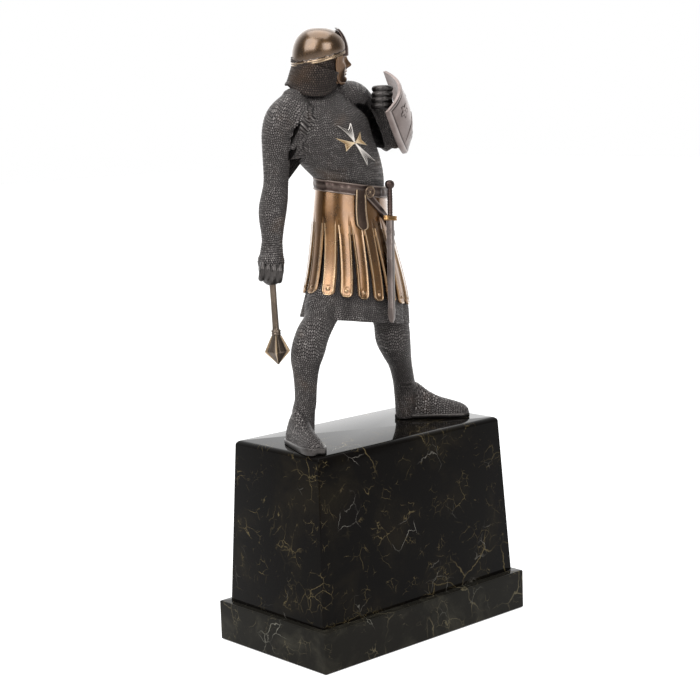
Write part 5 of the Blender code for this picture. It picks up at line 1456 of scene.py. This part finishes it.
# The fringe: its level, the scallops' depth, and how it slopes across the hand
FRINGE_LEVEL, FRINGE_SCALLOP, FRINGE_SLOPE = 131.6, 0.5, 0.12
mitten = [ball_mesh(MITTEN_CENTRE, MITTEN_RADII), tube_mesh(limb_rings(smooth_rows(MITTEN_WRIST, 3)))]
points, quads = melt(mitten, 0.34, 20)
spoke = points[:, :2] - np.array(MITTEN_CENTRE[:2])
mail_u = np.arctan2(spoke[:, 1], spoke[:, 0]) * MITTEN_ROUND / RING_PITCH
mail_v = points[:, 2] / RING_PITCH
crest = mail_relief(mail_u, mail_v)
quads = orient(points, quads)
points = points + vertex_normals(points, quads) * ((crest - 0.5) * RING_RELIEF)[:, None]
fringe = (FRINGE_LEVEL + FRINGE_SCALLOP * np.abs(np.sin(mail_u * 1.6))
          + FRINGE_SLOPE * spoke[:, 0])
points[:, 2] = np.maximum(points[:, 2], fringe)
make_piece("right_mitten", (points, quads, NO_TRIANGLES), MAIL, crest, ring_place(mail_u, mail_v))

# %% The left fist
build_fist("left_fist", (4.0, -20.8, 250.0), (7.4, 7.4, 8.4),
           finger_rows((4.0, -20.8, 250.0), 6.6, (0.1, 0.0, 1.0), (0.72, -0.68, 0.0),
                       (-0.70, -0.70, 0.1)),
           ((12.0, -15.0, 241.0, 6.2), (9.0, -17.0, 245.0, 6.4), (6.0, -19.5, 248.5, 6.6)))

# %% [markdown]
# ## Mace, shield and sword
#
# The three arms are cast apart and pinned on. The mace is a turned shaft with a four-sided head
# whose corners are raised ridges. The shield is a dished heater with a border and low relief. The
# sword lies in its scabbard, with a ridge down the middle and bands round it.

# %% Frame along an axis
def axis_frame(direction, outward):
    """Down an axis, out of it and across it, square to one another."""
    down = unit(direction)
    out = unit(np.array(outward) - down * np.dot(outward, down))
    return down, out, np.cross(down, out)


# %% Mace
MACE_TOP, MACE_DOWN, MACE_CORNER = (-92.3, -1.6, 133.0), (0.008, -0.040, -1.0), (-0.69, -0.72, 0.0)
down, out, across = axis_frame(MACE_DOWN, MACE_CORNER)
# Down the shaft, radius, how four-sided
MACE_ROWS = np.array([
    (0.0, 2.4, 0), (8.0, 2.4, 0), (25.0, 2.25, 0), (43.5, 2.4, 0), (45.0, 2.6, 0), (45.4, 3.3, 0),
    (46.2, 3.5, 0), (47.2, 3.1, 0), (48.0, 3.5, 0), (48.8, 3.2, 0), (49.2, 3.0, 0.6), (50.2, 3.6, 1),
    (55.0, 5.8, 1), (60.4, 8.2, 1), (61.0, 8.35, 1), (61.6, 8.1, 1), (65.0, 5.1, 1), (69.0, 1.6, 1),
    (70.5, 0.5, 1)])
MACE_STEPS = 8
places = np.arange(len(MACE_ROWS))
fine = np.linspace(0, places[-1], places[-1] * MACE_STEPS + 1)
along, radius, square = (np.interp(fine, places, column)[:, None] for column in MACE_ROWS.T)
angle = turns(96)[None, :]
quarter = np.mod(angle, math.pi / 2) - math.pi / 4
corner = math.cos(math.pi / 4) / np.cos(quarter)
from_ridge = math.pi / 4 - np.abs(quarter)
ridge = 0.09 * bell(from_ridge, 0.10) - 0.05 * bell(from_ridge - 0.28, 0.12)
reach = radius * (1.0 + square * (corner - 1.0 + ridge))
grid = (np.array(MACE_TOP) + down * along[..., None] + out * (np.cos(angle) * reach)[..., None]
        + across * (np.sin(angle) * reach)[..., None])
wear = np.clip(square * bell(from_ridge, 0.12), 0, 1).ravel()
make_piece("mace_bronze", tube_mesh(grid), MACE_FINISH, fan_ends(wear), sharp=55,
           node="mace")

# %% Shield
SHIELD_TOP, SHIELD_DOWN, SHIELD_OUT = (6.6, -23.4, 254.9), (0.600, 0.262, -0.775), (0.636, -0.756, 0.154)
SHIELD_HALF, SHIELD_LENGTH, SHIELD_THICK = 24.0, 57.0, 2.2
SHIELD_STRAIGHT, SHIELD_POINT, TOP_BULGE, MID_BULGE = 0.28, 2.1, 10.5, 13.5
# The chevron's upper and lower line at the middle, its slope, and its waves
CHEVRON_TOP, CHEVRON_LOW, CHEVRON_SLOPE, WAVE, WAVE_LENGTH = 24.0, 31.0, 0.75, 0.8, 2.6
LINE_WIDTH, LEAF_RADIUS, LEAF_WAVE = 0.45, 3.9, 1.1
# Leaf marks: across, down, how many lobes
LEAF_MARKS = ((-10.5, 13.5, 5), (10.5, 13.5, 5), (0.0, 45.0, 6))
down, face, across = axis_frame(SHIELD_DOWN, SHIELD_OUT)
share = np.linspace(0.0, 1.0, 150)[:, None]
side = np.sin(np.linspace(-math.pi / 2, math.pi / 2, 121))[None, :]
taper = np.clip((share - SHIELD_STRAIGHT) / (1.0 - SHIELD_STRAIGHT), 0.0, 0.995)
half = SHIELD_HALF * np.sqrt(1.0 - taper ** SHIELD_POINT)
growth = np.sin(np.clip(share * 1.9, 0.0, math.pi / 2))
dish = (TOP_BULGE + (MID_BULGE - TOP_BULGE) * growth) * np.clip(1.0 - share ** 3.0, 0.0, 1.0)
lift = dish * (1.0 - side ** 2)
x = side * half
y = share * SHIELD_LENGTH
edge = np.minimum(half * (1 - np.abs(side)), np.minimum(y, (SHIELD_LENGTH - y) * 0.8))
inside = 1.0 / (1.0 + np.exp(-(edge - 4.0) / 0.5))
slope = CHEVRON_SLOPE * np.abs(x)
line_a = np.abs(y - CHEVRON_TOP - slope - WAVE * np.sin(x / WAVE_LENGTH))
line_b = np.abs(y - CHEVRON_LOW - slope - WAVE * np.sin(x / WAVE_LENGTH + 1.0))
field = ((y > CHEVRON_TOP + slope) & (y < CHEVRON_LOW + slope)).astype(float)
carved = bell(line_a, LINE_WIDTH) + bell(line_b, LINE_WIDTH)
for centre_x, centre_y, lobes in LEAF_MARKS:
    away, spin = np.hypot(x - centre_x, y - centre_y), np.arctan2(y - centre_y, x - centre_x)
    leaf = LEAF_RADIUS + LEAF_WAVE * np.cos(lobes * spin)
    carved = carved + bell(away - leaf, LINE_WIDTH) + 0.8 * bell(away, 0.7)
    field = field + (away < leaf)
field = np.clip(field, 0.0, 1.0) * inside
groove = np.clip(carved * inside + bell(edge - 2.9, LINE_WIDTH), 0.0, 1.0)
border = 0.55 * bell(edge - 1.3, 0.7)
relief = border + 0.35 * field - 0.45 * groove
middle = np.array(SHIELD_TOP) + down * y[..., None] + across * x[..., None]
outer = middle + face * (lift + relief)[..., None]
inner = middle + face * (lift - SHIELD_THICK)[..., None]
wear = np.clip(border * 1.2, 0.0, 1.0) + 0.15 * field - groove
make_piece("shield_bronze_plate", slab_mesh(outer, inner), SHIELD_GREY, front_only(wear), sharp=60,
           node="shield")

# %% Sword
SWORD_MOUTH, SWORD_DOWN, SWORD_OUT = (3.4, -26.3, 160.0), (-0.122, -0.108, -1.0), (-0.10, -0.99, 0.05)
down, out, across = axis_frame(SWORD_DOWN, SWORD_OUT)


def sword_part(name, rows, material, ridged=0.0, count=48):
    """Sections of (down, half width, half depth); ridged pinches them to a medial ridge."""
    rows = np.asarray(rows, dtype=float)
    angle = turns(count)[None, :]
    pinch = 1.0 - ridged * np.abs(np.cos(angle)) * np.abs(np.sin(angle)) * 1.2
    wide = rows[:, 1][:, None] * np.cos(angle) * pinch
    deep = rows[:, 2][:, None] * np.sin(angle) * pinch
    grid = (np.array(SWORD_MOUTH) + down * rows[:, 0][:, None, None] + across * wide[..., None]
            + out * deep[..., None])
    wear = (np.clip(bell(np.cos(angle), 0.12) * ridged * 1.5, 0, 1)
            * np.ones((len(rows), 1)))
    return make_piece(name, tube_mesh(grid), material, fan_ends(wear.ravel()), sharp=50,
                      node="sword")


scabbard = [(0.0, 3.7, 2.2), (7.4, 3.7, 2.2), (7.5, 4.1, 2.6), (9.7, 4.1, 2.6), (9.8, 3.7, 2.2),
            (15.1, 3.65, 2.2), (15.2, 4.05, 2.6), (17.4, 4.05, 2.6), (17.5, 3.65, 2.15),
            (40.0, 3.5, 2.1), (65.2, 3.3, 2.0), (65.4, 3.7, 2.4), (68.0, 3.6, 2.3), (72.2, 3.3, 2.2),
            (74.5, 2.4, 1.8), (75.8, 1.3, 1.1)]
sword_part("scabbard", scabbard, STEEL_GREY, 0.35)
guard = [(-3.4, 5.8, 1.6), (-3.2, 6.2, 2.0), (-2.4, 6.25, 2.1), (-1.6, 5.9, 1.9), (-0.8, 6.25, 2.1),
         (0.1, 6.0, 1.9)]
sword_part("sword_guard", guard, BRASS)
GRIP_TOP, GRIP_LENGTH, GRIP_STEPS = -3.4, 20.0, 40
grip_rows = []
for step in range(GRIP_STEPS + 1):
    swell = 1.8 + 0.12 * math.sin(step * math.pi / 2) + 0.15 * math.sin(math.pi * step / GRIP_STEPS)
    grip_rows.append((GRIP_TOP - GRIP_LENGTH * step / GRIP_STEPS, swell, swell))
sword_part("sword_grip", grip_rows[::-1], LEATHER)
pommel = [(-23.4 - 3.9 * rise, 3.9 * wide, 3.9 * deep) for rise, wide, deep in
          ((1.68, 0.12, 0.12), (1.62, 0.45, 0.4), (1.45, 0.78, 0.62), (1.15, 0.96, 0.76), (0.85, 1.0, 0.8),
           (0.55, 0.95, 0.76), (0.25, 0.78, 0.62), (0.08, 0.5, 0.5), (-0.02, 0.46, 0.46))]
sword_part("sword_pommel", pommel, LEATHER)

# %% [markdown]
# ## The cross on the chest
#
# A low eight-pointed cross of the kind that orders of knights wore lies on the mail: two arms are
# drawn in fine pale lines, and two are gilded. Each arm is a flat shape between the middle and two
# tips, with a notch between the tips. The chest under it is read from the melted skin as a small
# map of depths, smoothed over the rings, so that the cross follows the body's curve.

# %% The chest as a map of depths
MAP_LOW, MAP_STEP, MAP_SHAPE = np.array([-56.0, 192.0]), 1.0, (64, 52)
front_half = SHIRT_POINTS[SHIRT_POINTS[:, 1] < 0.0]
cell = np.round((front_half[:, [0, 2]] - MAP_LOW) / MAP_STEP).astype(int)
inside_map = np.all((cell >= 0) & (cell < np.array(MAP_SHAPE)), axis=1)
depth_map = np.zeros(MAP_SHAPE)
np.minimum.at(depth_map, (cell[inside_map, 0], cell[inside_map, 1]), front_half[inside_map, 1])
for _ in range(6):
    padded = np.pad(depth_map, 1, mode="edge")
    depth_map = (padded[:-2, 1:-1] + padded[2:, 1:-1] + padded[1:-1, :-2] + padded[1:-1, 2:]
                 + 2 * padded[1:-1, 1:-1]) / 6.0


def chest_depth(flat):
    """The chest's y at (x, z) places, by weighing the four nearest cells of the map."""
    at = (flat - MAP_LOW) / MAP_STEP
    corner = np.floor(at).astype(int)
    u, v = np.moveaxis(at - corner, -1, 0)
    i, j = np.moveaxis(corner, -1, 0)
    return (depth_map[i, j] * (1 - u) * (1 - v) + depth_map[i + 1, j] * u * (1 - v)
            + depth_map[i, j + 1] * (1 - u) * v + depth_map[i + 1, j + 1] * u * v)


print("chest map from", depth_map.min().round(1), "to", depth_map.max().round(1), "mm")

# %% Cross
CROSS_MIDDLE = np.array([-28.0, 218.7])
SILVER_TIPS = (((-44.0, 231.5), (-31.7, 233.1)), ((-13.9, 201.5), (-3.8, 204.1)))
GOLD_TIPS = (((-45.6, 222.7), (-35.5, 212.7)), ((-22.3, 226.4), (-14.2, 216.2)))


def cross_arm(tips, line, fill):
    """One arm: its sides run from the middle to the tips, and its end dips halfway between them.

    Lines stand up along the border and along three rays; fill is how bright the field stays.
    """
    first, second = (np.array(tip) for tip in tips)
    t = np.linspace(0.0, 1.0, 44)[:, None]
    s = np.linspace(-1.0, 1.0, 41)[None, :]
    half = (second - first) / 2
    ahead = (first + second) / 2 - CROSS_MIDDLE
    reach = (0.03 + 0.97 * t) * (1.0 - 0.30 * t * (1 - np.abs(s)))
    width = 0.10 + 0.90 * t ** 1.25
    flat = CROSS_MIDDLE + ahead * reach[..., None] + half * (s * width)[..., None]
    half_width = np.linalg.norm(half)
    from_side = half_width * width * (1 - np.abs(s))
    from_end = np.linalg.norm(ahead) * (1 - t) * np.ones_like(s)
    edge = np.minimum(from_side, from_end)
    border = bell(edge - 0.35, 0.42)
    rays = sum(bell((s - at) * width * half_width, 0.30) for at in (-0.42, 0.0, 0.42))
    drawn = np.maximum(border, rays * 0.8 * np.clip(1.3 - t, 0.0, 1.0))
    height = 0.55 + line * drawn
    depth = chest_depth(flat)
    top = np.stack([flat[..., 0], depth - height, flat[..., 1]], axis=-1)
    bottom = np.stack([flat[..., 0], depth + 1.2, flat[..., 1]], axis=-1)
    wear = np.clip(drawn + fill * bell(t, 0.5), 0.0, 1.0)
    return slab_mesh(top, bottom), np.concatenate([wear.ravel(), np.zeros(wear.size)])


for group, tips, line, fill, material in (
        ("cross_silver_arms", SILVER_TIPS, 0.40, 0.35, CROSS_METAL),
        ("cross_gold_arms", GOLD_TIPS, 0.12, 0.8, CROSS_GOLD)):
    arms, wears = zip(*[cross_arm(pair, line, fill) for pair in tips])
    make_piece(group, merge_meshes(arms), material, np.concatenate(wears), sharp=60)

# %% [markdown]
# ## Floor, light and camera
#
# The work stands on a plain pale floor under wide, soft lights, seen from a little above and from
# its right front, through a long lens.

# %% Studio
floor_mesh = bpy.data.meshes.new("floor")
floor_mesh.from_pydata([(-6, -6, 0), (6, -6, 0), (6, 6, 0), (-6, 6, 0)], [], [(0, 1, 2, 3)])
floor = bpy.data.objects.new("floor", floor_mesh)
bpy.context.scene.collection.objects.link(floor)
floor.location = (0.0, 0.0, PLINTH_LOW[2] - 0.0002)
pale = Nodes("pale_floor")
FLOOR_GLOW, DARK_SIDE, BRIGHT_SIDE = 0.86, 0.26, 2.2
floor_mesh.materials.append(pale.finish((0.28, 0.28, 0.28, 1), 0.8, 0.0, Emission_Strength=FLOOR_GLOW,
                                        Emission_Color=(1.0, 1.0, 1.0, 1.0)))
world = bpy.data.worlds.new("studio")
world.use_nodes = True
sky = world.node_tree
facing = sky.nodes.new("ShaderNodeVectorMath")
facing.operation = "DOT_PRODUCT"
facing.inputs[1].default_value = (0.66, 0.74, 0.10)
sky.links.new(sky.nodes.new("ShaderNodeTexCoord").outputs["Generated"], facing.inputs[0])
falloff = sky.nodes.new("ShaderNodeMapRange")
falloff.interpolation_type = "SMOOTHSTEP"
for socket, number in zip(list(falloff.inputs)[1:5], (-0.1, 0.8, DARK_SIDE, BRIGHT_SIDE)):
    socket.default_value = number
sky.links.new(facing.outputs["Value"], falloff.inputs[0])
seen = sky.nodes.new("ShaderNodeMix")
seen.data_type = "FLOAT"
sky.links.new(sky.nodes.new("ShaderNodeLightPath").outputs["Is Camera Ray"], seen.inputs[0])
sky.links.new(falloff.outputs[0], seen.inputs[2])
seen.inputs[3].default_value = 1.0
sky.nodes["Background"].inputs["Color"].default_value = (1.0, 1.0, 1.0, 1.0)
sky.links.new(seen.outputs[0], sky.nodes["Background"].inputs["Strength"])
bpy.context.scene.world = world


def soft_light(name, place, target, power, size):
    """A square area light that looks at a point."""
    data = bpy.data.lights.new(name, "AREA")
    data.energy = power
    data.size = size
    lamp = bpy.data.objects.new(name, data)
    bpy.context.scene.collection.objects.link(lamp)
    lamp.location = place
    lamp.rotation_euler = (Vector(target) - Vector(place)).to_track_quat("-Z", "Y").to_euler()


soft_light("key", (-1.6, -0.4, 1.4), (0, 0, 0.3), 39, 1.5)
soft_light("front", (-0.4, -1.9, 1.0), (0, 0, 0.25), 18, 1.0)
soft_light("top", (-0.1, -0.1, 1.9), (0, 0, 0.2), 26, 1.6)

CAMERA_PLACE = (-0.85355, -0.91993, 0.41595)
CAMERA_YAW, CAMERA_PITCH, CAMERA_ROLL, CAMERA_LENS = 42.269, 9.043, -1.904, 85.84
camera_data = bpy.data.cameras.new("camera")
camera_data.lens = CAMERA_LENS
camera_data.sensor_width = 36.0
camera_data.clip_start = 0.01
camera = bpy.data.objects.new("camera", camera_data)
bpy.context.scene.collection.objects.link(camera)
camera.matrix_world = (Matrix.Translation(CAMERA_PLACE)
                       @ Matrix.Rotation(math.radians(-CAMERA_YAW), 4, "Z")
                       @ Matrix.Rotation(math.radians(90.0 - CAMERA_PITCH), 4, "X")
                       @ Matrix.Rotation(math.radians(CAMERA_ROLL), 4, "Z"))
bpy.context.scene.camera = camera
bpy.context.scene.view_settings.view_transform = "Standard"

# %% Sizes, and the end
print("triangles in all", sum(TRIANGLES.values()))
